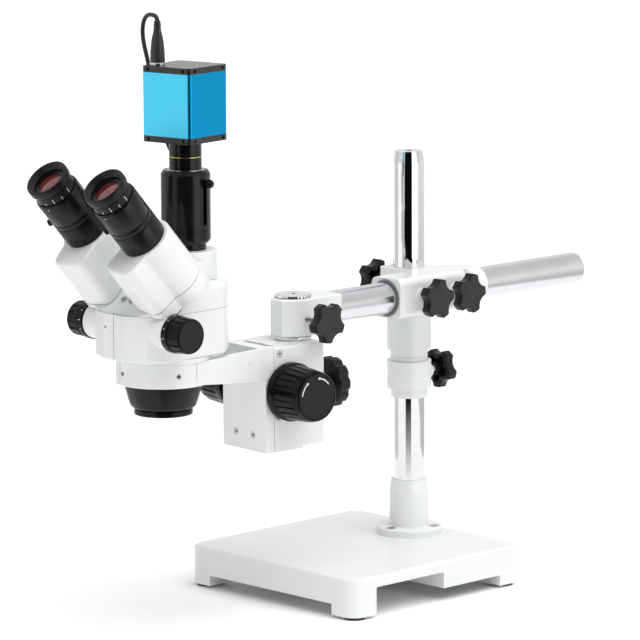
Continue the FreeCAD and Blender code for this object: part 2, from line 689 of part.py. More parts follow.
shell = body_prism(0, 274.0, body_z1.v)
e1 = [e for e in shell.Edges if e.BoundBox.ZLength > 20]
try:
    shell = shell.makeFillet(9.0, e1)
except Exception as err:
    print("head corners", err)
try:
    shell = shell.makeFillet(2.0, [e for e in shell.Edges if e.BoundBox.ZMax < 274.01])
except Exception as err:
    print("head foot", err)
boss = Part.makeCylinder(17.0, 2 * zoom_x.v, V(-zoom_x.v, zoom_y.v, zoom_z.v), V(1, 0, 0)).common(Part.makeBox(200, 200, 44, V(-100, -100, 274)))
shell = shell.fuse(boss).removeSplitter()
inside = body_prism(5.0, 279.0, 340.0)
inside = inside.makeFillet(5.0, [e for e in inside.Edges if e.BoundBox.ZLength > 20])
shell = shell.cut(inside)
shell = shell.cut(Part.makeCylinder(24.0, 20, V(0, 0, 268)))
shell = shell.cut(Part.makeCylinder(4.05, 140, V(-70, zoom_y.v, zoom_z.v), V(1, 0, 0)))
shell = shell.cut(Part.makeCylinder(1.5, 5, V(-11.7, -64.0, 305.0), V(0, 1, 0)))
posts = [(33.5, 34.0), (-33.5, 34.0)]
for x, y in posts:
    shell = shell.fuse(Part.makeCylinder(5.5, 40.0, V(x, y, 277.0)).cut(Part.makeCylinder(1.8, 41.0, V(x, y, 277.0))))
shell = shell.removeSplitter()
shell = shell.cut(Part.makeBox(0.7, 1.4, 60.0, V(-0.35, -63.0, 272.0)))
lft = shell.common(Part.makeBox(200, 300, 100, V(-200, -150, 250)))
rgt = shell.common(Part.makeBox(200, 300, 100, V(0, -150, 250)))
node(shaped(lft, "half"), "body_left", "head")
node(shaped(rgt, "half"), "body_right", "head")

th = math.radians(eye_tilt.v)


def eye_place(s):
    return Placement(V(s * eye_x.v, eye_y.v, eye_z.v), Rotation(V(1, 0, 0), eye_tilt.v))


def housing_block(z0, z1, side, grow=0.0):
    """Round sleeve with a narrower block in front of it, turned a little inwards."""
    h = z1 - z0
    r = 26.6 + grow
    b = Part.makeBox(39.6 + 2 * grow, 42.6 + grow, h, V(-19.8 - grow, -42.6 - grow, z0))
    b = b.makeFillet(10.0, [e for e in b.Edges if e.BoundBox.ZLength > h - 0.1 and e.BoundBox.YMax < -30])
    b.rotate(V(0, 0, 0), V(0, 0, 1), -7.0 * side)
    u = b.fuse(Part.makeCylinder(r, h, V(0, 0, z0))).removeSplitter()
    inner = []
    for e in u.Edges:
        bb = e.BoundBox
        if bb.ZLength > h - 0.1 and bb.XLength < 0.01 and bb.YLength < 0.01:
            d = math.hypot(bb.XMin, bb.YMin)
            if abs(d - r) < 0.2 and bb.YMin < -8:
                inner.append(e)
    try:
        v = u.makeFillet(7.0, inner)
        u = v if v.isValid() else u
    except Exception as err:
        print("housing valley left sharp", err)
    return u


cov = body_prism(0.0, body_z1.v, 372.0)
cov = cov.makeFillet(9.0, [e for e in cov.Edges if e.BoundBox.ZLength > 20])
prof = [(-63, 318), (-56.4, 318), (-28.2, 343.4), (-3.1, 366), (14, 366), (20, 344), (66, 344), (66, 318)]
w = Part.makePolygon([V(-80, y, z) for y, z in prof] + [V(-80, prof[0][0], prof[0][1])])
cov = cov.common(Part.Face(w).extrude(V(160, 0, 0)))
rim = [e for e in cov.Edges if e.BoundBox.ZMin > 343.9 and e.BoundBox.ZMax < 344.1 and e.BoundBox.YMax > 20.5]
for q in (8.0, 6.0, 4.0):
    try:
        c2 = cov.makeFillet(q, rim)
    except Exception as err:
        print("cover rim", q, err)
        continue
    if c2.isValid() and len(c2.Solids) == 1:
        cov = c2
        print("cover rim rounded", q)
        break
boss = Part.makeCylinder(29.5, 30.4, V(0, tube_y.v, 340.0))
boss = boss.makeFillet(1.2, [e for e in boss.Edges if e.BoundBox.ZMin > 370])
cov = cov.fuse(boss).removeSplitter()
for s in (-1, 1):
    pad = housing_block(-14.0, -1.0, s)
    pad.Placement = eye_place(s)
    under = Part.makeBox(200, 200, 60, V(-100, -100, 318))
    cov = cov.fuse(pad.common(under))
cov = cov.removeSplitter()
hollow = body_prism(5.5, 317.0, 338.5)
hollow = hollow.makeFillet(5.0, [e for e in hollow.Edges if e.BoundBox.ZLength > 20])
prof2 = [(-49.0, 317), (-22.5, 338.5), (60, 338.5), (60, 317)]
w = Part.makePolygon([V(-80, y, z) for y, z in prof2] + [V(-80, prof2[0][0], prof2[0][1])])
hollow = hollow.common(Part.Face(w).extrude(V(160, 0, 0)))
cov = cov.cut(hollow)
cov = cov.cut(Part.makeCylinder(18.0, 50.0, V(0, tube_y.v, 330.0)))
for s in (-1, 1):
    spig = Part.makeCylinder(14.0, 9.0, V(0, -23.0, -1.5))
    spig.Placement = eye_place(s)
    cov = cov.fuse(spig)
    lb = Part.makeCylinder(9.0, 34.0, V(0, -23.0, -24.0))
    lb.Placement = eye_place(s)
    cov = cov.cut(lb)
cov = cov.removeSplitter()
for x, y in posts:
    cov = cov.cut(Part.makeCylinder(1.8, 60, V(x, y, 310)))
    cov = cov.cut(Part.makeCylinder(3.6, 30, V(x, y, 340.5)))
for x in (-5.0, 5.0):
    c = Part.makeCylinder(1.7, 8.0, V(0, 0, -7.0))
    c.Placement = Placement(V(x, -43.6, 329.5), Rotation(V(1, 0, 0), eye_tilt.v))
    cov = cov.cut(c)
    c = Part.makeCylinder(3.2, 4.0, V(0, 0, -0.6))
    c.Placement = Placement(V(x, -43.6, 329.5), Rotation(V(1, 0, 0), eye_tilt.v))
    cov = cov.cut(c)
for sx in (-1, 1):
    x0 = 54.4 if sx > 0 else -84.4
    cov = cov.cut(Part.makeCylinder(18.9, 30.0, V(x0, zoom_y.v, zoom_z.v), V(1, 0, 0)))
node(shaped(cov, "cover"), "head_cover", "head")

hsx = []
for x, y in posts:
    o = shaped(cap_screw(3.5, 2.8, 1.8, 40.0, 2.5), "screw")
    o.Placement = Placement(V(x, y, 340.5), Rotation())
    hsx.append(o)
for x in (-5.0, 5.0):
    o = shaped(cap_screw(3.1, 2.0, 1.7, 5.5, 2.0), "screw")
    o.Placement = Placement(V(x, -43.6, 329.5), Rotation(V(1, 0, 0), eye_tilt.v)).multiply(Placement(V(0, 0, -0.6), Rotation()))
    hsx.append(o)
compound(hsx, "head_screws", "head")

zc = []
for z in (283.0, 296.0):
    for s in (-1, 1):
        t = Part.makeCylinder(9.0, 8.0, V(s * 11.5, 6.0, z)).cut(Part.makeCylinder(7.0, 5.0, V(s * 11.5, 6.0, z + 3.0)))
        zc.append(t)
bar = Part.makeBox(56.0, 5.0, 34.0, V(-28.0, 14.8, 279.0))
cells = bar
for t in zc:
    cells = cells.fuse(t)
cells = cells.removeSplitter()
node(shaped(cells, "cells"), "zoom_cells", "head")

zs = Part.makeCylinder(4.0, 148.0, V(-74.0, 0, 0), V(1, 0, 0)).fuse(Part.makeCylinder(7.0, 30.0, V(-15.0, 0, 0), V(1, 0, 0))).removeSplitter()
node(shaped(zs, "zoomshaft"), "zoom_shaft", "head", Placement(V(0, zoom_y.v, zoom_z.v), Rotation()))
zk_prof = [(4.0, 0.0), (18.0, 0.0), (18.0, 7.0), (17.2, 7.6), (17.2, 8.4), (17.4, 9.0), (16.8, 21.0), (16.5, 22.5), (15.8, 23.6), (0.0, 23.6), (0.0, 18.6), (4.0, 18.6)]
for sgn, nm in ((-1, "left"), (1, "right")):
    o = shaped(grip(zk_prof, 20, 17.7, 17.2, 9.6, 21.0, 0.7), "zoomknob")
    node(o, "zoom_knob_" + nm, "head", Placement(V(sgn * (zoom_x.v + 0.4), zoom_y.v, zoom_z.v), AX["X" if sgn > 0 else "-X"]))

# ---------------------------------------------------------------- eyetubes
for s, nm in ((-1, "left"), (1, "right")):
    hb = housing_block(0.0, 56.0, s)
    try:
        hb = hb.makeFillet(2.5, [e for e in hb.Edges if e.BoundBox.ZMin > 55.9])
    except Exception as err:
        print("eye housing top", err)
    hb = hb.cut(Part.makeCylinder(14.05, 9.4, V(0, -23.0, -0.5)))
    hb = hb.cut(Part.makeCylinder(10.0, 20.0, V(0, -23.0, 0.0)))
    hb = hb.cut(Part.makeBox(24.0, 50.0, 24.0, V(-12.0, -36.0, 12.0)))
    hb = hb.cut(Part.makeCylinder(15.0, 40.0, V(0, 0, 25.0)))
    node(shaped(hb, "eyehousing"), "eye_housing_" + nm, "head", eye_place(s))
    pr = [(-34.0, 13.0), (-12.0, 13.0), (11.0, 35.0), (-11.0, 35.0)]
    w = Part.makePolygon([V(-10.0, y, z) for y, z in pr] + [V(-10.0, pr[0][0], pr[0][1])])
    node(shaped(Part.Face(w).extrude(V(20.0, 0, 0)), "prism"), "eye_prism_" + nm, "head", eye_place(s))
    eb2 = turned([(12.5, 40.0), (15.0, 40.0), (15.0, 56.0), (22.0, 56.0), (22.0, 78.0), (21.0, 78.8), (21.0, 80.0), (22.0, 80.8), (22.0, 84.0),
                  (21.3, 84.6), (21.3, 85.6), (22.0, 86.2), (22.0, 111.3), (21.4, 112.0), (17.0, 112.0), (17.0, 124.4), (12.5, 124.4)], "barrel")
    sc = cyl(2.05, 12.0, (0, 0, 81.6), Rotation(V(0, 0, 1), V(math.cos(math.radians(220)), math.sin(math.radians(220)), 0)))
    place(sc, (13.6 * math.cos(math.radians(220)), 13.6 * math.sin(math.radians(220)), 82.4))
    eb2 = cut(eb2, sc)
    node(eb2, "eyepiece_barrel_" + nm, "head", eye_place(s))
    lens = turned([(0, 113.0), (12.5, 114.5), (12.5, 122.0), (0, 124.2)], "eyelens")
    node(lens, "eyepiece_lens_" + nm, "head", eye_place(s))
    dr = turned([(17.05, 112.3), (20.0, 112.3), (20.0, 120.4), (19.4, 121.0), (20.9, 121.6), (21.4, 123.4), (21.2, 129.4), (20.4, 130.6),
                 (19.2, 130.6), (15.0, 126.6), (15.0, 124.7), (17.05, 124.7)], "cup")
    node(dr, "diopter_ring_" + nm, "head", eye_place(s))
    ts = Part.makeCylinder(2.0, 9.0).fuse(Part.makeCylinder(3.4, 3.6, V(0, 0, 8.6))).removeSplitter()
    for i in range(10):
        a = 2 * math.pi * i / 10
        ts = ts.cut(Part.makeCylinder(0.4, 5.0, V(3.5 * math.cos(a), 3.5 * math.sin(a), 8.0)))
    d = V(math.cos(math.radians(220)), math.sin(math.radians(220)), 0)
    node(shaped(ts, "thumb"), "thumb_screw_" + nm, "head",
         eye_place(s).multiply(Placement(V(d.x * 13.9, d.y * 13.9, 82.4), Rotation(V(0, 0, 1), d))))

# ---------------------------------------------------------------- photo tube and camera
pt = turned([(18.0, 352.0), (18.0, 370.4), (19.2, 370.4), (19.2, 376.6), (20.8, 376.6), (23.0, 379.0), (tube_r, 380.4), (tube_r, 385.8), (23.2, 386.0), (23.2, 386.7),
             (tube_r, 386.9), (tube_r, 388.8), (23.2, 389.0), (23.2, 389.7), (tube_r, 389.9), (tube_r, 442.4), (21.5, 446.2), (20.9, 446.5), (15.55, 446.5),
             (15.55, 372.0), (15.0, 352.0)], "tube")
place(pt, (0, tube_y, 0))
az = math.radians(8.0)
sd = V(math.cos(az), math.sin(az), 0)
slot = Part.makeBox(16.0, 5.3, 38.7, V(12.0, -2.65, 396.85)).fuse([Part.makeCylinder(2.65, 16, V(12, 0, 396.85), V(1, 0, 0)), Part.makeCylinder(2.65, 16, V(12, 0, 435.55), V(1, 0, 0))])
slot.Placement = Placement(V(0, tube_y.v, 0), Rotation(V(0, 0, 1), 8.0))
so = shaped(slot, "slot")
pt = cut(pt, so)
node(pt, "photo_tube", "head")

ad = turned([(10.0, 404.0), (15.5, 404.0), (15.5, 457.6), (15.1, 458.2), (15.1, 459.8), (15.5, 460.4), (15.5, cube_z0 - 0.3),
             (12.45, cube_z0 - 0.3), (12.45, cube_z0 + 4.0), (10.0, cube_z0 + 4.0)], "adapter")
place(ad, (0, tube_y, 0))
hole = cyl(2.05, 16.0, (4.0 * sd.x, tube_y.v + 4.0 * sd.y, 434.6), Rotation(V(0, 0, 1), sd))
ad = cut(ad, hole)
node(ad, "camera_adapter", "head")
sk = Part.makeCylinder(2.0, 14.0).fuse(Part.makeCylinder(2.0, 1.0)).removeSplitter()
sk = sk.fuse(Part.makeSphere(4.3, V(0, 0, 16.4))).removeSplitter()
node(shaped(sk, "slotknob"), "slot_knob", "head",
     Placement(V(sd.x * 13.0, tube_y.v + sd.y * 13.0, 434.6), Rotation(V(0, 0, 1), sd)))

ch = cube / 2
sb = box(-ch, ch, -ch, ch, cube_z0 + 6.0, cube_z1 - 6.0)
sb = fillet(sb, 4.0, vertical)
sb = cut(sb, box(-ch + 3.5, ch - 3.5, -ch + 3.5, ch - 3.5, cube_z0, cube_z1))
node(sb, "camera_shell", "camera")
cp = []
for z0, low_cap in ((cube_z0, True), (cube_z1 - 6.0, False)):
    c = box(-ch, ch, -ch, ch, z0, z0 + 6.0)
    c = fillet(c, 4.0, vertical)
    if low_cap:
        c = cut(c, cyl(12.5, 8.0, (0, 0, z0 - 1.0)))
    c = cut(c, *[cyl(1.6, 3.0, (sx * 21.0, sy * (ch.v + 0.0) - (3.0 if sy > 0 else 0.0), z0 + 3.0), "Y") for sx in (-1, 1) for sy in (-1, 1)],
            *[cyl(1.6, 3.0, (sx * (ch.v) - (3.0 if sx > 0 else 0.0), sy * 21.0, z0 + 3.0), "X") for sx in (-1, 1) for sy in (-1, 1)])
    if not low_cap:
        c = cut(c, box(-26.0, -14.0, -21.0, -10.0, cube_z1 - 7.0, cube_z1 + 1.0))
    cp.append(c)
compound(cp, "camera_caps", "camera")
bd = fuse(box(-24.0, 24.0, -24.0, 24.0, 496.0, 497.8), box(-9.0, 9.0, -7.0, 7.0, 493.5, 496.0), box(-25.2, -14.0, -21.0, -10.0, 497.8, cube_z1 - 6.3))
posts4 = [cyl(2.5, 16.0, (i * 20.0, j * 20.0, 480.0)) for i in (-1, 1) for j in (-1, 1)]
node(fuse(bd, *posts4), "sensor_board", "camera")

# ---------------------------------------------------------------- camera lead
px0, py0 = -20.0, -15.5
pl = box(-25.0, -15.0, -19.5, -11.5, cube_z1 - 6.0, cube_z1 + 3.0)
pb = turned([(0, 549.0), (5.9, 549.0), (6.4, 549.6), (6.4, 571.5), (5.6, 573.5), (3.9, 574.4), (3.4, 576.0), (3.2, 583.0), (3.6, 583.2), (3.6, 584.4),
             (3.0, 584.6), (3.0, 585.6), (3.5, 585.8), (3.5, 587.0), (2.9, 588.0), (0, 588.0)], "plug")
place(pb, (px0, py0, 0))
node(fuse(pl, pb), "usb_plug", "camera")

route = [(-20.0, -15.5, 588.0), (-20.6, -15.4, 591.6), (-24.0, -14.8, 595.2), (-31.0, -13.4, 595.2), (-36.2, -12.4, 589.0),
         (-37.4, -12.2, 573.0), (-34.4, -11.6, 548.0), (-34.2, -4.0, 520.0), (-34.2, 6.0, 494.0), (-33.2, 11.0, 474.0), (-29.6, 15.4, 459.0),
         (-24.4, 21.4, 448.0), (-21.85, 22.16, 437.0)]


def swept(points, r):
    """Round cord: straight runs joined by tangent arcs."""
    P = [V(*p) for p in points]
    edges, radii, cur, length = [], [], P[0], 0.0
    for i in range(1, len(P) - 1):
        d1, d2 = P[i] - P[i - 1], P[i + 1] - P[i]
        l1, l2 = d1.Length, d2.Length
        d1.normalize()
        d2.normalize()
        turn = d1.getAngle(d2)
        t = 0.45 * min(l1, l2)
        R = t / math.tan(turn / 2)
        a, c = P[i] - d1 * t, P[i] + d2 * t
        n = d2 - d1
        n.normalize()
        m = P[i] + n * (R / math.cos(turn / 2) - R)
        edges.append(Part.LineSegment(cur, a).toShape())
        arc = Part.Arc(a, m, c).toShape()
        edges.append(arc)
        length += (a - cur).Length + arc.Length
        radii.append(R)
        cur = c
    edges.append(Part.LineSegment(cur, P[-1]).toShape())
    length += (P[-1] - cur).Length
    w = Part.Wire(edges)
    d = P[1] - P[0]
    prof = Part.Wire(Part.makeCircle(r, P[0], d))
    s = w.makePipeShell([prof], True, True)
    if s.ShapeType != "Solid":
        s = Part.Solid(s)
    print("cord length %.1f volume %.1f expected %.1f radii %s" % (length, s.Volume, math.pi * r * r * length, " ".join("%.1f" % q for q in radii)))
    return s


coil_c = V(-36.0, 48.3, 437.0)
coil_a = V(-0.598, 0.8015, 0)
coil_n = V(0.8015, 0.598, 0)
coil_R, coil_t = 24.9, 6.35
ring3 = Part.makeCylinder(coil_R + coil_t, 2 * coil_t + 0.1, coil_c - coil_n * (coil_t + 0.05), coil_n)
ring3 = ring3.cut(Part.makeCylinder(coil_R - coil_t, 2 * coil_t + 4, coil_c - coil_n * (coil_t + 2), coil_n))
ring3 = ring3.makeFillet(2.0, [e for e in ring3.Edges if e.Closed and e.Curve.TypeId == "Part::GeomCircle"])
lead = swept(route, cord_r.v)
lead = lead.cut(ring3)
if len(lead.Solids) > 1:
    lead = sorted(lead.Solids, key=lambda q: -q.Volume)[0]
node(shaped(lead, "lead"), "usb_cord", "camera")


def in_coil(a, w, z):
    p = coil_c + coil_a * a + coil_n * w
    return (p.x, p.y, z)


tail_route = [in_coil(-2.0, 4.2, 407.6), in_coil(8.5, 4.2, 407.1), in_coil(17.2, 4.2, 401.5), in_coil(20.7, 4.2, 392.0), in_coil(20.8, 4.2, 383.0)]
tail = swept(tail_route, cord_r.v)
coil = ring3.fuse(tail).removeSplitter()
node(shaped(coil, "coil"), "cord_coil", "camera")
tp = coil_c + V(0, 0, coil_R)
tie = Part.makeBox(16.4, 15.4, 5.0, V(-8.2, -7.7, -2.5))
tie = tie.makeFillet(3.2, [e for e in tie.Edges if abs(e.Length - 5.0) < 1e-6])
tie.Placement = Placement(tp, Rotation(coil_n, V(0, 0, 1), coil_a, "ZXY"))
tie = tie.cut(ring3)
tie = sorted(tie.Solids, key=lambda q: -q.Volume)[0]
node(shaped(tie, "tie"), "cord_tie", "camera")
frm = Placement(V(*in_coil(20.8, 4.2, 383.0)), Rotation(coil_n, coil_a, V(0, 0, 1), "ZXY"))
pa = Part.makeBox(16.0, 8.0, 22.0, V(-8.0, -4.0, -26.0))
pa = pa.makeFillet(1.5, [e for e in pa.Edges if e.Length > 20])
pa = pa.fuse(Part.makeCone(3.6, 2.8, 4.0, V(0, 0, -4.0))).removeSplitter()
sh2 = Part.makeBox(12.0, 4.5, 12.0, V(-6.0, -2.25, -38.0)).cut(Part.makeBox(11.4, 1.9, 10.0, V(-5.7, 0.05, -39.0)))
pa = pa.fuse(sh2).removeSplitter()
node(shaped(pa, "plugend"), "usb_a_plug", "camera", frm)

# ---------------------------------------------------------------- write out
doc.recompute()
bad = 0
for o in doc.Objects:
    if "Invalid" in o.State or "Error" in o.State:
        print("STATE", o.Name, o.Label, o.State)
        bad += 1
lo, hi = V(1e9, 1e9, 1e9), V(-1e9, -1e9, -1e9)
os.makedirs("parts", exist_ok=True)
total = 0
for o in NODES:
    s = o.Shape
    if s.isNull() or not s.isValid() or not s.Solids:
        print("BAD SHAPE", o.Label)
        bad += 1
        continue
    b = s.optimalBoundingBox(True, False)
    if not o.Label.startswith(("usb_cord", "cord_coil", "cord_tie", "usb_plug", "usb_a_plug")):
        lo = V(min(lo.x, b.XMin), min(lo.y, b.YMin), min(lo.z, b.ZMin))
        hi = V(max(hi.x, b.XMax), max(hi.y, b.YMax), max(hi.z, b.ZMax))
    total += 1
    s.exportStep("parts/" + o.Label + ".step")
    print("%-22s solids %d vol %9.1f  x %.1f..%.1f y %.1f..%.1f z %.1f..%.1f" % (o.Label, len(s.Solids), s.Volume / 1000, b.XMin, b.XMax, b.YMin, b.YMax, b.ZMin, b.ZMax))
print("nodes", total, "bad", bad, "box", lo, hi)
if bad:
    raise RuntimeError("%d pieces are not sound" % bad)
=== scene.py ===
import bpy, bmesh, math, json
from mathutils import Vector, Matrix
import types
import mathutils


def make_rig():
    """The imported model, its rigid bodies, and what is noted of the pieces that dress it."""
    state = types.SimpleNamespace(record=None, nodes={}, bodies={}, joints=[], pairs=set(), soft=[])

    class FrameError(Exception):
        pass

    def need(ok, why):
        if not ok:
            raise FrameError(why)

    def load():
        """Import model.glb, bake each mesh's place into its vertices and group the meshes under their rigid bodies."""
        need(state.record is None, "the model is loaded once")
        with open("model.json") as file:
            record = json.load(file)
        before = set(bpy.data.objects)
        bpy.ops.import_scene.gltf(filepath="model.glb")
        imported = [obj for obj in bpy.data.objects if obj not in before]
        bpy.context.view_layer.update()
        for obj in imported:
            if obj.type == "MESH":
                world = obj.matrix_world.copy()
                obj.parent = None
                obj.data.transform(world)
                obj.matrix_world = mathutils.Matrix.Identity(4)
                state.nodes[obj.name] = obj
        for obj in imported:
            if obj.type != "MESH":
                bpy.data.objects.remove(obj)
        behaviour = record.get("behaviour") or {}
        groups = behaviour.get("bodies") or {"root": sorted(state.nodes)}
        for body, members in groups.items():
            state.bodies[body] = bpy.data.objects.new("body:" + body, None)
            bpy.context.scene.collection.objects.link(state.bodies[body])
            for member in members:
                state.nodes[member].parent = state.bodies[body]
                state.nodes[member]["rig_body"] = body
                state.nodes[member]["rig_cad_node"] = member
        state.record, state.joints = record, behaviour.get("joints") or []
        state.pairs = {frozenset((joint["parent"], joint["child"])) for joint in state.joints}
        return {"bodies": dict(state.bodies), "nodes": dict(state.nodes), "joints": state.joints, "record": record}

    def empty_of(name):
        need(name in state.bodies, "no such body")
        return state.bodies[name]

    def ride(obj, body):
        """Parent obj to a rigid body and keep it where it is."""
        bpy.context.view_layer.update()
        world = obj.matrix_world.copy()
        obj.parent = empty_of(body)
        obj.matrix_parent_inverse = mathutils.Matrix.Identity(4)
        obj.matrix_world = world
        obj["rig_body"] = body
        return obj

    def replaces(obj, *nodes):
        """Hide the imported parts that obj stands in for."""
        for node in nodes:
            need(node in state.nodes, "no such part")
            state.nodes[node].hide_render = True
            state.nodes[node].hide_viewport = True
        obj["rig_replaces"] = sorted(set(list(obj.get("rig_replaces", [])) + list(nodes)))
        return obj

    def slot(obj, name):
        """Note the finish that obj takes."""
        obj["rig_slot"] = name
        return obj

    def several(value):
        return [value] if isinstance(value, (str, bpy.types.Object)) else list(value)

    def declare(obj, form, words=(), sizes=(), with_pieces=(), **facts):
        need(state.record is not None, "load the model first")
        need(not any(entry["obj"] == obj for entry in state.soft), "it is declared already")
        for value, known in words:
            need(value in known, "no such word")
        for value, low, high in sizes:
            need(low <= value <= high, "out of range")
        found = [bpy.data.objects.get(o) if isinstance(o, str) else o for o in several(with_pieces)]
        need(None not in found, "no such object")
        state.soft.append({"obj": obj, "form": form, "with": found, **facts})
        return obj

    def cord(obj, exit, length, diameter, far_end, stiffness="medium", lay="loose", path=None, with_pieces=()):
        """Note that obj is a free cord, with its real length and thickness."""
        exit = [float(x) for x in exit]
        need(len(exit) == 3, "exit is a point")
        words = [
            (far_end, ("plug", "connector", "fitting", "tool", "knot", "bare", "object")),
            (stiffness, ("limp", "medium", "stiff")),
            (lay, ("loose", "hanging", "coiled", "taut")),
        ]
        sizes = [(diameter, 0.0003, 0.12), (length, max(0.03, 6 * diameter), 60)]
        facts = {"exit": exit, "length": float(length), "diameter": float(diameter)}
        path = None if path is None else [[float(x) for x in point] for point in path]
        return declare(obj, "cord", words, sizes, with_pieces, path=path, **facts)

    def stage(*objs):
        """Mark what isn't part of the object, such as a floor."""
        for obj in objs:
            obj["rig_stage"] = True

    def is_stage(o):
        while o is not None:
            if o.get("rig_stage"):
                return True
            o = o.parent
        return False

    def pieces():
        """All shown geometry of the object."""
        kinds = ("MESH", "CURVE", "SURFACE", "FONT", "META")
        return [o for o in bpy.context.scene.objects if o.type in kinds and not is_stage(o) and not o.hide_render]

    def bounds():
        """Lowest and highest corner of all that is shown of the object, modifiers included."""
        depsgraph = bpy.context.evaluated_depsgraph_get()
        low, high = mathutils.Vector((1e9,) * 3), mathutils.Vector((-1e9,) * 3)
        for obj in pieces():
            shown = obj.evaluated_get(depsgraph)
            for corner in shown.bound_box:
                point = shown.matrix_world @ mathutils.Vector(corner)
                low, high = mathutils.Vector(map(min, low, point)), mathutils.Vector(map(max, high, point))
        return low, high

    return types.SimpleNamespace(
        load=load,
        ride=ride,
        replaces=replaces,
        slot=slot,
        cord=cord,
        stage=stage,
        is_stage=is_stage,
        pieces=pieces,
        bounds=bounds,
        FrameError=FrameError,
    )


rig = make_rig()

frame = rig.load()
cad_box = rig.bounds()

# ------------------------------------------------------------------ frames
MM = 0.001
SHIFT = 57.5
PIN = (35.7, -119.0)
HEAD = (21.851, -277.295)
TUBE_Y = 31.2
TILT = math.radians(42.0)
KNOB = {}


def W():
    return Matrix.Translation((0, SHIFT * MM, 0))


def B():
    return Matrix.Translation((PIN[0] * MM, (PIN[1] + SHIFT) * MM, 0)) @ Matrix.Rotation(math.radians(-5), 4, "Z")


def H():
    return Matrix.Translation((HEAD[0] * MM, (HEAD[1] + SHIFT) * MM, 0))


def C():
    return Matrix.Translation((HEAD[0] * MM, (HEAD[1] + TUBE_Y + SHIFT) * MM, 0)) @ Matrix.Rotation(math.radians(9), 4, "Z")


def E(s):
    return H() @ Matrix.Translation((s * 0.040, -0.02097, 0.35117)) @ Matrix.Rotation(TILT, 4, "X")


def along(direction):
    return Vector(direction).to_track_quat("Z", "Y").to_matrix().to_4x4()


AXM = {"X": Matrix(((0, 0, 1, 0), (0, 1, 0, 0), (-1, 0, 0, 0), (0, 0, 0, 1))),
       "-X": Matrix(((0, 0, -1, 0), (0, 1, 0, 0), (1, 0, 0, 0), (0, 0, 0, 1))),
       "Y": Matrix(((1, 0, 0, 0), (0, 0, 1, 0), (0, -1, 0, 0), (0, 0, 0, 1)))}


def at(x, y, z):
    return Matrix.Translation((x * MM, y * MM, z * MM))


# ------------------------------------------------------------------ camera
cam_data = bpy.data.cameras.new("camera")
cam = bpy.data.objects.new("camera", cam_data)
bpy.context.scene.collection.objects.link(cam)
cam_data.sensor_width = 36.0
cam_data.lens = 240.28
cam_data.clip_end = 50.0
R = Vector((0.69839676, 0.71569938, -0.00404505))
U = Vector((-0.11530854, 0.11809523, 0.98628467))
K = Vector((0.70636103, -0.6883516, 0.16500357))
cam.matrix_world = Matrix(((R.x, U.x, K.x, 2.98475), (R.y, U.y, K.y, -2.95640 + SHIFT * MM), (R.z, U.z, K.z, 0.97256), (0, 0, 0, 1)))
bpy.context.scene.camera = cam


# ------------------------------------------------------------------ materials
def new_mat(name):
    m = bpy.data.materials.new(name)
    m.use_nodes = True
    nt = m.node_tree
    b = nt.nodes["Principled BSDF"]
    return m, nt, b


def node(nt, kind, **kw):
    n = nt.nodes.new(kind)
    for k, v in kw.items():
        if k in n.inputs:
            n.inputs[k].default_value = v
        else:
            setattr(n, k, v)
    return n


def coords(nt, scale=(1, 1, 1)):
    tc = nt.nodes.new("ShaderNodeTexCoord")
    mp = nt.nodes.new("ShaderNodeMapping")
    mp.inputs["Scale"].default_value = scale
    nt.links.new(tc.outputs["Object"], mp.inputs["Vector"])
    return mp.outputs["Vector"]


def ramp(nt, src, stops):
    r = nt.nodes.new("ShaderNodeValToRGB")
    nt.links.new(src, r.inputs["Fac"])
    els = r.color_ramp.elements
    while len(els) < len(stops):
        els.new(0.5)
    for e, (p, c) in zip(els, stops):
        e.position = p
        e.color = (c[0], c[1], c[2], 1.0) if not isinstance(c, (int, float)) else (c, c, c, 1.0)
    return r.outputs["Color"]


def bump(nt, b, src, strength, dist):
    n = nt.nodes.new("ShaderNodeBump")
    n.inputs["Strength"].default_value = strength
    n.inputs["Distance"].default_value = dist
    nt.links.new(src, n.inputs["Height"])
    nt.links.new(n.outputs["Normal"], b.inputs["Normal"])
    return n


def noise(nt, vec, scale, detail=2.0, rough=0.5):
    n = nt.nodes.new("ShaderNodeTexNoise")
    n.inputs["Scale"].default_value = scale
    n.inputs["Detail"].default_value = detail
    n.inputs["Roughness"].default_value = rough
    nt.links.new(vec, n.inputs["Vector"])
    return n.outputs["Fac"]


def surface(name, lo, hi, rough=(0.3, 0.4), metal=0.0, grain=900.0, tone=18.0, bump_s=0.15, bump_d=0.00008, coat=0.0, coat_rough=0.1,
            stretch=(1, 1, 1), spec=0.5):
    """A finish with slow colour drift, uneven gloss and a fine surface."""
    m, nt, b = new_mat(name)
    v = coords(nt, stretch)
    slow = noise(nt, v, tone, 3.0)
    fine = noise(nt, v, grain, 2.0)
    nt.links.new(ramp(nt, slow, [(0.3, lo), (0.7, hi)]), b.inputs["Base Color"])
    nt.links.new(ramp(nt, noise(nt, v, tone * 2.3, 4.0, 0.6), [(0.3, rough[0]), (0.7, rough[1])]), b.inputs["Roughness"])
    b.inputs["Metallic"].default_value = metal
    b.inputs["Specular IOR Level"].default_value = spec
    b.inputs["Coat Weight"].default_value = coat
    b.inputs["Coat Roughness"].default_value = coat_rough
    bump(nt, b, fine, bump_s, bump_d)
    return m


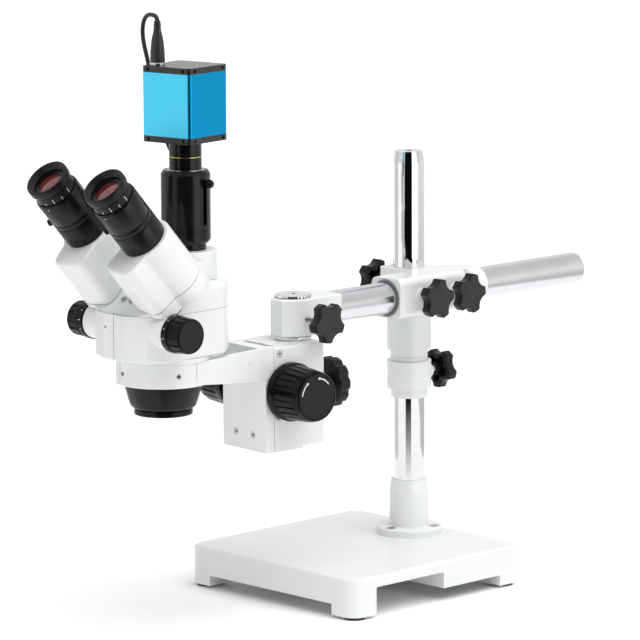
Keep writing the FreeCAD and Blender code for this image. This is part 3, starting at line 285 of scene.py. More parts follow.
ENAMEL = surface("enamel", (0.775, 0.787, 0.784), (0.795, 0.806, 0.803), (0.28, 0.36), 0.0, 900.0, 14.0, 0.05, 0.00003, 0.2, 0.2)
CHROME = surface("chrome", (0.73, 0.73, 0.74), (0.77, 0.77, 0.78), (0.03, 0.07), 1.0, 2500.0, 30.0, 0.02, 0.00001)
BOOM = surface("boom_chrome", (0.70, 0.70, 0.72), (0.74, 0.74, 0.76), (0.16, 0.22), 1.0, 2500.0, 30.0, 0.02, 0.00001)
STEEL = surface("steel", (0.42, 0.42, 0.43), (0.52, 0.52, 0.53), (0.25, 0.38), 1.0, 3000.0, 90.0, 0.1, 0.00002)
MATT = surface("black_moulding", (0.006, 0.006, 0.007), (0.010, 0.010, 0.011), (0.24, 0.34), 0.0, 1500.0, 60.0, 0.15, 0.00006, 0.0, 0.1, (1, 1, 1), 0.22)
SEAM = surface("seam_shadow", (0.10, 0.10, 0.10), (0.13, 0.13, 0.13), (0.6, 0.7), 0.0, 2200.0, 50.0, 0.05, 0.00002)
# Mid-grey for the boom bush, toned dark so the ring round the boom reads as a shaded recess: painted shade.
BUSH_SHADE_GREY = surface("bush_painted_shade_grey", (0.20, 0.205, 0.21), (0.24, 0.245, 0.25), (0.40, 0.50), 0.0, 2200.0, 50.0, 0.1, 0.00003)
FACE = surface("knob_face", (0.016, 0.016, 0.019), (0.022, 0.022, 0.026), (0.42, 0.52), 0.0, 2200.0, 50.0, 0.25, 0.00006, 0.0, 0.1, (1, 1, 1), 0.30)
CAPF = surface("cap_face", (0.003, 0.003, 0.004), (0.005, 0.005, 0.006), (0.22, 0.30), 0.0, 2200.0, 50.0, 0.1, 0.00003, 0.0, 0.1, (1, 1, 1), 0.25)
GLOSS = surface("black_gloss", (0.002, 0.002, 0.0025), (0.003, 0.003, 0.004), (0.14, 0.20), 0.0, 1800.0, 60.0, 0.08, 0.00003, 0.0, 0.2, (1, 1, 1), 0.16)
ANOD = surface("black_anodised", (0.003, 0.003, 0.004), (0.006, 0.006, 0.007), (0.18, 0.25), 0.0, 2600.0, 50.0, 0.08, 0.00002, 0.0, 0.1, (1, 1, 1), 0.26)
BLUE = surface("blue_anodised", (0.012, 0.315, 0.640), (0.016, 0.345, 0.680), (0.30, 0.31), 1.0, 3500.0, 12.0, 0.01, 0.000005)
# Painted light and shade on the camera shell: the surface normal sets the base colour. Faces turned away from +X get a
# lighter cyan blue, and faces turned to +X get a darker blue.
nt = BLUE.node_tree
gp = nt.nodes.new("ShaderNodeTexCoord")
painted_side_shade_axes = nt.nodes.new("ShaderNodeSeparateXYZ")
nt.links.new(gp.outputs["Normal"], painted_side_shade_axes.inputs["Vector"])
mr = nt.nodes.new("ShaderNodeMapRange")
nt.links.new(painted_side_shade_axes.outputs["X"], mr.inputs["Value"])
mr.inputs["From Min"].default_value = 0.0
mr.inputs["From Max"].default_value = 1.0
nt.links.new(ramp(nt, mr.outputs["Result"], [(0.25, (0.082, 0.570, 0.800)), (0.75, (0.0, 0.300, 0.590))]), nt.nodes["Principled BSDF"].inputs["Base Color"])
CAPS = surface("camera_black", (0.005, 0.005, 0.006), (0.008, 0.008, 0.009), (0.36, 0.44), 0.0, 2600.0, 50.0, 0.12, 0.00003, 0.62, 0.22, (1, 1, 1), 0.2)
BRASS = surface("brass", (0.55, 0.40, 0.16), (0.64, 0.47, 0.20), (0.25, 0.38), 1.0, 2500.0, 60.0, 0.1, 0.00003)
GOLD = surface("gold_line", (0.55, 0.42, 0.14), (0.62, 0.48, 0.18), (0.25, 0.35), 1.0, 2500.0, 60.0, 0.1, 0.00003)
RUBBER = surface("foot_rubber", (0.030, 0.030, 0.030), (0.045, 0.045, 0.045), (0.75, 0.9), 0.0, 1200.0, 80.0, 0.4, 0.00015)
SHEATH = surface("lead_sheath", (0.012, 0.012, 0.013), (0.020, 0.020, 0.021), (0.36, 0.5), 0.0, 1800.0, 60.0, 0.2, 0.00006)
BOARD = surface("board", (0.02, 0.12, 0.05), (0.03, 0.16, 0.07), (0.35, 0.5), 0.0, 900.0, 90.0, 0.3, 0.0001)
MARK = surface("white_marks", (0.72, 0.72, 0.72), (0.80, 0.80, 0.80), (0.5, 0.6), 0.0, 1500.0, 60.0, 0.1, 0.00003)
SILVER = surface("silver_ring", (0.66, 0.66, 0.68), (0.76, 0.76, 0.78), (0.18, 0.28), 1.0, 3000.0, 80.0, 0.08, 0.00002)


def lens_mat(name, tint, dark):
    m, nt, b = new_mat(name)
    v = coords(nt)
    nt.links.new(ramp(nt, noise(nt, v, 60.0, 2.0), [(0.3, dark), (0.7, tint)]), b.inputs["Base Color"])
    nt.links.new(ramp(nt, noise(nt, v, 200.0, 2.0), [(0.2, 0.02), (0.8, 0.05)]), b.inputs["Roughness"])
    b.inputs["Specular IOR Level"].default_value = 0.8
    b.inputs["Coat Weight"].default_value = 1.0
    b.inputs["Coat Roughness"].default_value = 0.02
    b.inputs["Coat Tint"].default_value = (1.0, 0.62, 0.60, 1.0)
    return m


LENS = lens_mat("coated_glass", (0.150, 0.052, 0.050), (0.080, 0.024, 0.024))
GLASS = lens_mat("optical_glass", (0.05, 0.055, 0.07), (0.02, 0.022, 0.03))

BY_NODE = {}
for names, mat in (
    (("base_plate", "pillar_socket", "safety_collar", "cross_clamp", "end_block", "focus_housing", "head_arm", "body_left", "body_right",
      "head_cover", "eye_housing_left", "eye_housing_right"), ENAMEL),
    (("pillar", "swivel_pin", "pin_cap"), CHROME), (("boom_tube",), BOOM),
    (("socket_screws", "housing_screws", "arm_screws", "head_screws", "focus_shaft", "zoom_shaft", "dovetail_slide"), STEEL),
    (("collar_knob", "pillar_lock_knob", "boom_knob_front", "boom_knob_rear", "swivel_knob", "tension_knob"), MATT), (("boom_bush",), BUSH_SHADE_GREY),
    (("focus_knob_left", "focus_knob_right", "zoom_knob_left", "zoom_knob_right"), GLOSS),
    (("objective_housing", "zoom_cells", "photo_tube", "eyepiece_barrel_left", "eyepiece_barrel_right", "diopter_ring_left",
      "diopter_ring_right", "camera_adapter", "slot_knob", "thumb_screw_left", "thumb_screw_right"), ANOD),
    (("camera_shell",), BLUE), (("camera_caps",), CAPS), (("gear_rack",), BRASS), (("rubber_feet",), RUBBER),
    (("usb_plug", "usb_cord", "cord_coil", "cord_tie", "usb_a_plug"), SHEATH), (("sensor_board",), BOARD),
    (("eyepiece_lens_left", "eyepiece_lens_right"), LENS), (("objective_lens", "eye_prism_left", "eye_prism_right"), GLASS),
):
    for n in names:
        BY_NODE[n] = mat
for n, o in frame["nodes"].items():
    m = BY_NODE[n]
    if not o.material_slots:
        o.data.materials.append(m)
    for s in o.material_slots:
        s.material = m


# ------------------------------------------------------------------ mesh helpers
def obj_from(name, verts, faces, mat, M=Matrix(), smooth=True, angle=35.0, mats=None, fm=None):
    me = bpy.data.meshes.new(name)
    me.from_pydata([tuple(M @ Vector(v)) for v in verts], [], faces)
    if M.determinant() < 0:
        me.flip_normals()
    me.update()
    for m in (mats or [mat]):
        me.materials.append(m)
    if fm:
        for p, i in zip(me.polygons, fm):
            p.material_index = i
    if smooth:
        for p in me.polygons:
            p.use_smooth = True
    o = bpy.data.objects.new(name, me)
    bpy.context.scene.collection.objects.link(o)
    bm = bmesh.new()
    bm.from_mesh(me)
    bmesh.ops.recalc_face_normals(bm, faces=bm.faces)
    if smooth:
        for e in bm.edges:
            if len(e.link_faces) == 2 and e.calc_face_angle(0) > math.radians(angle):
                e.smooth = False
    bm.to_mesh(me)
    bm.free()
    return o


def lathe(name, prof, mat, M=Matrix(), seg=96, radial=None, closed=True, angle=30.0, mats=None, zone=None):
    """Turned mesh from (r, z) in mm; radial(theta, r, z) may change r. zone(i) gives the material of the i-th band."""
    verts, faces, fm = [], [], []
    n = len(prof)
    for k in range(seg):
        t = 2 * math.pi * k / seg
        for r, z in prof:
            rr = radial(t, r, z) if radial else r
            verts.append((rr * MM * math.cos(t), rr * MM * math.sin(t), z * MM))
    for k in range(seg):
        k2 = (k + 1) % seg
        for i in range(n if closed else n - 1):
            j = (i + 1) % n
            if prof[i][0] < 1e-6 and prof[j][0] < 1e-6:
                continue
            faces.append((k * n + i, k2 * n + i, k2 * n + j, k * n + j))
            fm.append(zone(i) if zone else 0)
    o = obj_from(name, verts, faces, mat, M, True, angle, mats, fm if zone else None)
    bm = bmesh.new()
    bm.from_mesh(o.data)
    bmesh.ops.remove_doubles(bm, verts=bm.verts, dist=1e-7)
    bmesh.ops.dissolve_degenerate(bm, edges=bm.edges, dist=1e-8)
    bm.to_mesh(o.data)
    bm.free()
    return o


def finish_piece(o, body, node_names=(), slot=None):
    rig.ride(o, body)
    if node_names:
        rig.replaces(o, *node_names)
    if slot:
        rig.slot(o, slot)
    return o


# ------------------------------------------------------------------ lead (first, as its length decides the frame)
ROUTE = [(-20.0, -15.5, 588.0), (-20.6, -15.4, 590.6), (-24.4, -14.8, 592.7), (-33.4, -13.4, 592.7), (-39.8, -12.4, 585.6),
         (-41.0, -12.2, 570.5), (-35.0, -11.6, 548.0), (-34.2, -4.0, 520.0), (-34.2, 6.0, 494.0), (-33.2, 11.0, 474.0), (-29.6, 15.4, 459.0),
         (-24.4, 21.4, 448.0)]
COIL_C = Vector((-36.0, 48.3, 437.0))
COIL_A = Vector((-0.598, 0.8015, 0.0))
COIL_N = Vector((0.8015, 0.598, 0.0))
LEAD_D = 4.2


CELLS = [(-1, 1), (-1, 0), (-1, -1), (0, -1), (1, -1), (1, 0), (0, 0), (0, 1), (1, 1)]


def coil_points(turns=8.25, per=20):
    """Turns of the put-away lead, lying beside and on each other."""
    pts = []
    n = int(round(turns * per))
    for i in range(n + 1):
        th = math.pi - 2 * math.pi * i / per
        k = i / per
        a, b = CELLS[min(int(k), 8)], CELLS[min(int(k) + 1, 8)]
        f = min(1.0, max(0.0, (k % 1.0 - 0.915 + 0.095 * int(k)) / 0.085))
        f = f * f * (3 - 2 * f)
        wob = 0.02 * math.sin(3.1 * k + 1.3 * th)
        w, h = 4.26 * (a[0] * (1 - f) + b[0] * f), 4.26 * (a[1] * (1 - f) + b[1] * f) + wob
        r = 24.9 + h
        pts.append(COIL_C + COIL_A * (r * math.cos(th)) - Vector((0, 0, 1)) * (r * math.sin(th)) + COIL_N * w)
    return pts


def nurbs(name, pts, diameter, mat, M):
    cu = bpy.data.curves.new(name, "CURVE")
    cu.dimensions = "3D"
    cu.bevel_depth = diameter / 2 * MM
    cu.bevel_resolution = 5
    cu.resolution_u = 8
    cu.use_fill_caps = True
    sp = cu.splines.new("NURBS")
    sp.points.add(len(pts) - 1)
    for p, q in zip(sp.points, pts):
        v = M @ (Vector(q) * MM)
        p.co = (v.x, v.y, v.z, 1.0)
    sp.order_u = 3
    sp.use_endpoint_u = True
    cu.materials.append(mat)
    o = bpy.data.objects.new(name, cu)
    bpy.context.scene.collection.objects.link(o)
    return o


loops = coil_points()
tail = [COIL_C + COIL_A * p + COIL_N * 4.2 + Vector((0, 0, q - 437.0)) for p, q in ((8.5, 407.1), (17.2, 401.5), (20.7, 392.0), (20.8, 383.0))]
lead = nurbs("camera_lead", ROUTE + [tuple(p) for p in loops] + [tuple(p) for p in tail], LEAD_D, SHEATH, C())

# ------------------------------------------------------------------ five-lobed clamp knobs
def lobed(phase):
    """Five round notches of radius 11.6 about points 26.7 from the axis, in a 20 mm disc."""
    def f(t, r, z):
        if r < 9.0:
            return r
        d = (t - phase + math.pi / 5) % (2 * math.pi / 5)
        d = min(d, 2 * math.pi / 5 - d)
        q = 11.6 ** 2 - (26.7 * math.sin(d)) ** 2
        lim = 26.7 * math.cos(d) - math.sqrt(q) if q > 0 else 26.7 * math.cos(d) + 0.9 * math.sqrt(-q)
        k = 1.1
        h = max(0.0, k - abs(lim - 20.0)) / k
        lim = min(lim, 20.0) - h * h * k * 0.25
        return min(r, lim - (20.0 - r) * 1.15)
    return f


def thread(r, z0, z1, pitch=1.0, depth=0.32):
    """Profile of a threaded stud from z0 down to z1."""
    out = []
    z = z0
    while z - pitch > z1:
        out += [(r - depth, z), (r, z - pitch * 0.45), (r, z - pitch * 0.55)]
        z -= pitch
    return out + [(r - depth, z), (r - depth, z1)]


def star_knob(name, M, stud, body, node_name, lobe=18.0):
    prof = [(0.0, 0.0), (8.9, 0.0), (18.9, 0.0), (19.25, -0.08), (19.7, -0.4), (19.93, -0.85), (20.0, -1.4), (20.0, -9.0), (19.8, -9.8), (19.2, -10.35),
            (18.4, -10.5), (15.4, -10.5), (14.9, -10.1), (14.4, -3.2), (13.6, -2.7), (7.2, -2.7), (6.6, -3.4), (6.6, -14.1), (6.2, -14.5)]
    th = thread(3.0, -14.5, -14.5 - stud)
    full = prof + th + [(0.0, -14.5 - stud)]
    nb = len(prof)
    o = lathe(name, full, MATT, M, 300, lobed(math.radians(lobe)), False, 30.0, [MATT, FACE, STEEL],
              lambda i: 1 if i < 2 else (2 if i >= nb else 0))
    return finish_piece(o, body, (node_name,), "black_moulding")


PY = 77.7
star_knob("star_collar", W() @ at(0, PY + 50, 206) @ AXM["Y"], 19.0, "collar_knob_body", "collar_knob")
star_knob("star_pillar", W() @ at(-54.0, PY, 297.5) @ AXM["-X"], 23.1, "pillar_lock", "pillar_lock_knob")
star_knob("star_boom_front", W() @ at(82, 39.5, 295) @ AXM["X"], 15.3, "boom_lock_front", "boom_knob_front", 26.0)
star_knob("star_boom_rear", W() @ at(80, 86.7, 295) @ AXM["X"], 13.3, "boom_lock_rear", "boom_knob_rear", 22.0)
star_knob("star_swivel", W() @ at(88, -119, 291) @ AXM["X"], 28.8, "swivel_lock", "swivel_knob", -5.0)


# ------------------------------------------------------------------ focus knobs
def ribs(n, duty, depth, z0, z1, rmin, soft=0.8, phase=0.0):
    def f(t, r, z):
        if r < rmin or z < z0 or z > z1:
            return r
        x = ((t - phase) * n / (2 * math.pi)) % 1.0
        d = abs(x - 0.5) * 2
        g = 1.0 - min(1.0, max(0.0, (d - duty) / 0.14))
        e = min(1.0, (z - z0) / soft, (z1 - z) / soft)
        return r - depth * g * max(0.0, e)
    return f


def arc_mark(name, M, r0, r1, a0, a1, z, body, slot="black_gloss", head=True):
    """A thin raised arc with an arrow head."""
    verts, faces = [], []
    n = 28
    for i in range(n + 1):
        a = math.radians(a0 + (a1 - a0) * i / n)
        for r in (r0, r1):
            verts += [(r * MM * math.cos(a), r * MM * math.sin(a), z * MM), (r * MM * math.cos(a), r * MM * math.sin(a), (z + 0.08) * MM)]
    for i in range(n):
        k = 4 * i
        faces += [(k + 1, k + 3, k + 7, k + 5), (k, k + 4, k + 6, k + 2), (k, k + 1, k + 5, k + 4), (k + 2, k + 6, k + 7, k + 3)]
    faces += [(0, 2, 3, 1), (4 * n, 4 * n + 1, 4 * n + 3, 4 * n + 2)]
    if head:
        a = math.radians(a1)
        s = 1 if a1 > a0 else -1
        rm, w = (r0 + r1) / 2, (r1 - r0) * 1.5
        tip = a + s * 2.6 / rm
        b = len(verts)
        for zz in (z, z + 0.08):
            verts += [((rm - w) * MM * math.cos(a), (rm - w) * MM * math.sin(a), zz * MM), ((rm + w) * MM * math.cos(a), (rm + w) * MM * math.sin(a), zz * MM),
                      (rm * MM * math.cos(tip), rm * MM * math.sin(tip), zz * MM)]
        faces += [(b, b + 2, b + 1), (b + 3, b + 4, b + 5), (b, b + 1, b + 4, b + 3), (b + 1, b + 2, b + 5, b + 4), (b + 2, b, b + 3, b + 5)]
    o = obj_from(name, verts, faces, MARK, M, False)
    return finish_piece(o, body, (), slot)


FK = [(4.0, 0.4), (10.0, 0.4), (10.0, 4.2), (24.3, 4.2), (24.6, 0.8), (25.2, 0.1), (28.0, 0.0), (28.5, 0.5), (28.5, 7.6), (28.1, 8.6), (27.3, 9.4), (26.95, 10.4),
      (26.6, 15.0), (26.0, 24.0), (25.3, 33.0), (24.95, 37.4), (24.75, 38.0), (24.6, 38.9), (24.35, 39.6), (23.9, 41.2), (23.4, 42.4), (22.6, 43.0), (21.4, 43.0),
      (20.9, 42.6), (0.0, 42.6)]
for sgn, nm in ((-1, "left"), (1, "right")):
    M = B() @ at(sgn * 36.3, -34.6, 227.0) @ AXM["X" if sgn > 0 else "-X"]
    o = lathe("focus_grip_" + nm, FK, GLOSS, M, 432, ribs(24, 0.13, 1.5, 10.2, 37.6, 24.0, 0.9), False, 24.0, [GLOSS, CAPF],
              lambda i: 1 if i >= 22 else 0)
    finish_piece(o, "drive", ("focus_knob_" + nm,), "black_gloss")
    arc_mark("focus_arrow_a_" + nm, M, 17.6, 18.7, 128, 168, 42.56, "drive")
    arc_mark("focus_arrow_b_" + nm, M, 17.6, 18.7, 262, 222, 42.56, "drive")

# ------------------------------------------------------------------ tension knob
TK = [(0.0, 0.0), (13.4, 0.0), (13.8, -0.9), (14.6, -0.9), (15.0, 0.0), (23.6, 0.0), (24.5, -0.4), (24.8, -1.2), (24.8, -10.8), (24.4, -11.7), (23.6, -12.0),
      (11.0, -12.0), (9.2, -13.0), (9.0, -14.0), (9.0, -38.4), (4.0, -38.4), (4.0, -70.4), (0.0, -70.4)]


def scallop(t, r, z):
    if r < 15.5:
        return r
    x = (t - math.radians(18)) * 10 / (2 * math.pi) % 1.0
    d = min(x, 1 - x) * 36.0
    a = math.radians(d)
    inside = 28.0 * math.cos(a) - math.sqrt(max(0.0, 25.0 - (28.0 * math.sin(a)) ** 2)) if abs(28.0 * math.sin(a)) < 5.0 else 99.0
    lim = min(24.8, inside)
    return min(r, lim - (24.8 - r) * 0.9)


o = lathe("tension_grip", TK, MATT, B() @ at(0, 52.4, 222.0) @ AXM["Y"], 240, scallop, False, 26.0, [MATT, FACE, STEEL],
          lambda i: 1 if i < 5 else (2 if i >= 15 else 0))
finish_piece(o, "tension", ("tension_knob",), "black_moulding")

# ------------------------------------------------------------------ zoom knobs
ZK = [(4.0, 0.3), (16.6, 0.3), (17.5, 0.1), (18.0, 0.6), (18.0, 6.6), (17.7, 7.2), (17.1, 7.6), (17.1, 8.3), (17.5, 8.9), (17.4, 9.6), (17.2, 14.0), (16.9, 19.0),
      (16.8, 21.2), (16.65, 22.2), (16.2, 23.2), (15.5, 23.6), (14.9, 23.6), (14.6, 23.35), (0.0, 23.35)]
for sgn, nm in ((-1, "left"), (1, "right")):
    M = H() @ at(sgn * 55.4, -35.5, 303.0) @ AXM["X" if sgn > 0 else "-X"]
    o = lathe("zoom_grip_" + nm, ZK, GLOSS, M, 336, ribs(14, 0.22, 1.3, 9.4, 22.0, 15.8, 0.6), False, 24.0, [GLOSS, CAPF],
              lambda i: 1 if i >= 16 else 0)
    finish_piece(o, "zoom", ("zoom_knob_" + nm,), "black_gloss")
    for k in range(12):
        a = math.radians(30 * k + 7)
        w, h, d = (0.32, 1.5 if k % 3 else 2.6, 0.12)
        v = []
        for dz in (0.0, h):
            for dt in (-w, w):
                for dr in (-0.05, d):
                    v.append(((18.0 + dr) * MM * math.cos(a + dt / 18), (18.0 + dr) * MM * math.sin(a + dt / 18), (3.6 - h / 2 + dz) * MM))
        o = obj_from("zoom_tick_%s_%d" % (nm, k), v, [(0, 1, 3, 2), (4, 6, 7, 5), (0, 4, 5, 1), (2, 3, 7, 6), (1, 5, 7, 3), (0, 2, 6, 4)], MARK, M, False)
        finish_piece(o, "zoom", (), "black_gloss")

# ------------------------------------------------------------------ eyepieces
EP = [(12.5, 40.0), (15.0, 40.0), (15.0, 56.0), (21.2, 56.05), (22.0, 56.6), (22.0, 77.9), (21.85, 78.3), (21.1, 78.8), (21.0, 79.2), (21.1, 79.7), (21.85, 80.3),
      (22.0, 80.7), (22.0, 84.1), (21.85, 84.5), (21.3, 84.9), (21.3, 85.6), (21.85, 86.0), (22.0, 86.4), (22.0, 110.0), (21.75, 111.2), (21.0, 111.95),
      (17.0, 112.0), (17.0, 124.4), (12.5, 124.4)]
DR = [(17.05, 112.3), (19.4, 112.3), (19.9, 112.6), (20.0, 113.2), (20.0, 120.0), (19.8, 120.6), (19.5, 120.9), (19.5, 121.2), (20.2, 121.5), (20.9, 122.1), (21.3, 123.2),
      (21.4, 125.0), (21.4, 128.4), (21.2, 129.6), (20.7, 130.3), (20.0, 130.6), (19.2, 130.5), (18.4, 129.9), (17.2, 128.4), (15.6, 127.0), (14.8, 126.2), (14.6, 125.4), (15.0, 124.7), (17.05, 124.7)]
for s, nm in ((-1, "left"), (1, "right")):
    o = lathe("eyepiece_tube_" + nm, EP, ANOD, E(s), 144, None, True, 40.0)
    finish_piece(o, "eye_" + nm, ("eyepiece_barrel_" + nm,), "black_anodised")

    def knurl(t, r, z):
        if 112.8 < z < 120.3 and r > 19.5:
            return r - 0.16 * (0.5 + 0.5 * math.cos(72 * t))
        return r
    o = lathe("eyecup_" + nm, DR, MATT, E(s), 432, knurl, True, 34.0)
    finish_piece(o, "diopter_" + nm, ("diopter_ring_" + nm,), "black_moulding")
    for k in range(7):
        a = math.radians(-90 + (k - 3) * 26.0 + 12)
        w, h, d = 0.22, (5.4 if k % 2 == 0 else 3.4), 0.10
        v = []
        for dz in (0.0, h):
            for dt in (-w, w):
                for dr in (-0.2, d):
                    v.append(((20.0 + dr) * MM * math.cos(a + dt / 20), (20.0 + dr) * MM * math.sin(a + dt / 20), (112.9 + dz) * MM))
        o = obj_from("dioptre_tick_%s_%d" % (nm, k), v, [(0, 1, 3, 2), (4, 6, 7, 5), (0, 4, 5, 1), (2, 3, 7, 6), (1, 5, 7, 3), (0, 2, 6, 4)], MARK, E(s), False)
        finish_piece(o, "diopter_" + nm, (), "black_moulding")
    o = lathe("index_dot_" + nm, [(0.0, 0.05), (0.55, 0.05), (0.6, 0.0), (0.6, -0.3), (0.0, -0.3)], MARK,
              E(s) @ Matrix.Rotation(math.radians(-78), 4, "Z") @ at(22.0, 0, 108.4) @ AXM["X"], 24, None, False, 40.0)
    finish_piece(o, "eye_" + nm, (), "black_anodised")

OB = [(22.0, 274.0), (46.0, 274.0), (46.0, 269.3), (37.95, 269.3), (37.95, 247.7), (37.6, 247.7), (36.9, 242.6), (33.3, 229.4), (31.9, 225.2), (31.4, 224.2), (30.6, 223.2),
      (29.6, 222.4), (28.4, 221.9), (27.2, 221.6), (26.9, 221.3), (26.9, 220.9), (27.7, 220.6), (28.0, 220.2), (28.0, 219.0), (27.5, 218.7), (27.5, 218.2), (28.0, 217.9), (28.0, 216.4),
      (27.8, 215.9), (27.3, 215.7), (24.3, 215.7), (24.0, 216.0), (24.0, 221.5), (22.0, 221.5)]
o = lathe("objective_cone", OB, ANOD, H(), 160, None, True, 30.0, [ANOD, ENAMEL], lambda i: 1 if i < 3 or i == 28 else 0)
finish_piece(o, "head", ("objective_housing",), "black_anodised")
o = lathe("tube_rim", [(15.65, 446.5), (17.2, 446.5), (17.2, 446.9), (16.9, 447.1), (15.9, 447.1), (15.65, 446.9)], SILVER, H() @ at(0, TUBE_Y, 0), 96, None, True, 40.0)
finish_piece(o, "head", (), "steel")
o = lathe("adapter_line", [(15.45, 458.4), (15.62, 458.5), (15.62, 459.3), (15.45, 459.4)], GOLD, H() @ at(0, TUBE_Y, 0), 96, None, True, 40.0)
finish_piece(o, "adapter", (), "brass")

# ------------------------------------------------------------------ seams of the head: thin dark strips along the joints, painted shade standing in for the shadow in a gap
def rounded(poly, r, n=6):
    out = []
    m = len(poly)
    for i in range(m):
        a, b, c = Vector(poly[i - 1]), Vector(poly[i]), Vector(poly[(i + 1) % m])
        u, v = (a - b).normalized(), (c - b).normalized()
        ang = u.angle(v)
        t = r / math.tan(ang / 2)
        if t > 0.49 * min((a - b).length, (c - b).length):
            t = 0.49 * min((a - b).length, (c - b).length)
        rr = t * math.tan(ang / 2)
        o = b + (u + v).normalized() * (rr / math.sin(ang / 2))
        p0, p1 = b + u * t, b + v * t
        a0, a1 = math.atan2(p0.y - o.y, p0.x - o.x), math.atan2(p1.y - o.y, p1.x - o.x)
        d = (a1 - a0 + math.pi) % (2 * math.pi) - math.pi
        for k in range(n + 1):
            q = a0 + d * k / n
            out.append((o.x + rr * math.cos(q), o.y + rr * math.sin(q)))
    return out


half = [(14, -62), (38, -52), (45, -36), (46, 0), (44, 40), (26, 62)]
plan = rounded(half + [(-x, y) for x, y in reversed(half)], 9.0)
verts, faces = [], []
for x, y in plan:
    l = math.hypot(x, y)
    for off, z in ((-0.3, 317.82), (0.05, 317.82), (0.05, 318.12), (-0.3, 318.12)):
        verts.append(((x + off * x / l) * MM, (y + off * y / l) * MM, z * MM))
n = len(plan)
for i in range(n):
    j = (i + 1) % n
    for k in range(4):
        q = (k + 1) % 4
        faces.append((4 * i + k, 4 * j + k, 4 * j + q, 4 * i + q))
o = obj_from("cover_seam", verts, faces, SEAM, H(), False)
finish_piece(o, "head", (), "enamel_alloy")
verts = [(x * MM, y * MM, z * MM) for x in (-0.3, 0.3) for y in (-61.9, -61.5) for z in (276.5, 317.8)]
o = obj_from("body_seam", verts, [(0, 1, 3, 2), (4, 6, 7, 5), (0, 4, 5, 1), (2, 3, 7, 6), (1, 5, 7, 3), (0, 2, 6, 4)], SEAM, H(), False)
finish_piece(o, "head", (), "enamel_alloy")

for k, a in enumerate((-106.8, 2.6)):
    a = math.radians(a)
    verts = []
    for dt in (-0.22, 0.22):
        for r in (44.7, 45.04):
            for z in (251.5, 268.6):
                verts.append(((r * math.cos(a) - dt * math.sin(a)) * MM, (r * math.sin(a) + dt * math.cos(a)) * MM, z * MM))
    o = obj_from("ring_line_%d" % k, verts, [(0, 1, 3, 2), (4, 6, 7, 5), (0, 4, 5, 1), (2, 3, 7, 6), (1, 5, 7, 3), (0, 2, 6, 4)], SEAM, H(), False)
    finish_piece(o, "carriage", (), "enamel_alloy")

# ------------------------------------------------------------------ camera lead details
for o, n, mat in (("usb_cord", "usb_cord", SHEATH),):
    pass
finish_piece(lead, "camera", ("usb_cord", "cord_coil"), "lead_sheath")
PLUG = [(0.0, 548.3), (6.4, 548.3), (6.8, 548.6), (7.0, 549.4), (7.0, 552.0), (6.8, 557.0), (6.4, 563.0), (5.9, 568.0), (5.3, 571.5), (4.5, 574.6), (3.9, 577.2), (3.5, 580.0),
        (3.3, 582.6), (3.7, 583.0), (3.7, 584.1), (3.1, 584.4), (3.1, 585.1), (3.5, 585.4), (3.5, 586.3), (2.95, 586.6), (2.85, 587.3), (2.3, 588.0), (0.0, 588.0)]
o = lathe("lead_plug", PLUG, SHEATH, C() @ at(-20, -15.5, 0), 64, None, False, 34.0)
finish_piece(o, "camera", ("usb_plug",), "lead_sheath")
o = lathe("plug_ring", [(0.0, 546.0), (7.2, 546.0), (7.5, 546.3), (7.5, 547.9), (7.2, 548.3), (0.0, 548.3)], SILVER, C() @ at(-20, -15.5, 0), 64, None, False, 34.0)
finish_piece(o, "camera", (), "lead_sheath")

# ------------------------------------------------------------------ stage
fl = bpy.data.meshes.new("floor")
fl.from_pydata([(-12, -12, 0), (12, -12, 0), (12, 12, 0), (-12, 12, 0)], [], [(0, 1, 2, 3)])
floor = bpy.data.objects.new("floor", fl)
bpy.context.scene.collection.objects.link(floor)
m, nt, b = new_mat("floor")
b.inputs["Base Color"].default_value = (1.0, 1.0, 1.0, 1)
b.inputs["Roughness"].default_value = 0.85
b.inputs["Specular IOR Level"].default_value = 0.1
fl.materials.append(m)
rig.stage(floor)

world = bpy.data.worlds.new("studio")
bpy.context.scene.world = world
world.use_nodes = True
bg = world.node_tree.nodes["Background"]
bg.inputs["Color"].default_value = (0.985, 0.995, 1.0, 1)
wt = world.node_tree
tc = wt.nodes.new("ShaderNodeTexCoord")
dot = wt.nodes.new("ShaderNodeVectorMath")
dot.operation = "DOT_PRODUCT"
wt.links.new(tc.outputs["Generated"], dot.inputs[0])
dot.inputs[1].default_value = (0.03, 0.0, 0.22)
add = wt.nodes.new("ShaderNodeMath")
add.operation = "ADD"
wt.links.new(dot.outputs["Value"], add.inputs[0])
add.inputs[1].default_value = 0.44
wt.links.new(add.outputs["Value"], bg.inputs["Strength"])
bpy.context.scene.view_settings.view_transform = "Standard"


def sun(name, direction, strength, angle, color=(1, 1, 1)):
    """A very large soft source far away, shining along the direction."""
    d = bpy.data.lights.new(name, "SUN")
    d.energy = strength
    d.angle = math.radians(angle)
    d.color = color
    o = bpy.data.objects.new(name, d)
    bpy.context.scene.collection.objects.link(o)
    o.location = tuple(-2.0 * c for c in direction)
    o.rotation_euler = Vector(direction).to_track_quat("-Z", "Y").to_euler()
    return o


sun("key", (-0.50, 0.0, -1.0), 2.18, 60)
sun("side", (0.9, 0.55, -1.0), 0.10, 70)


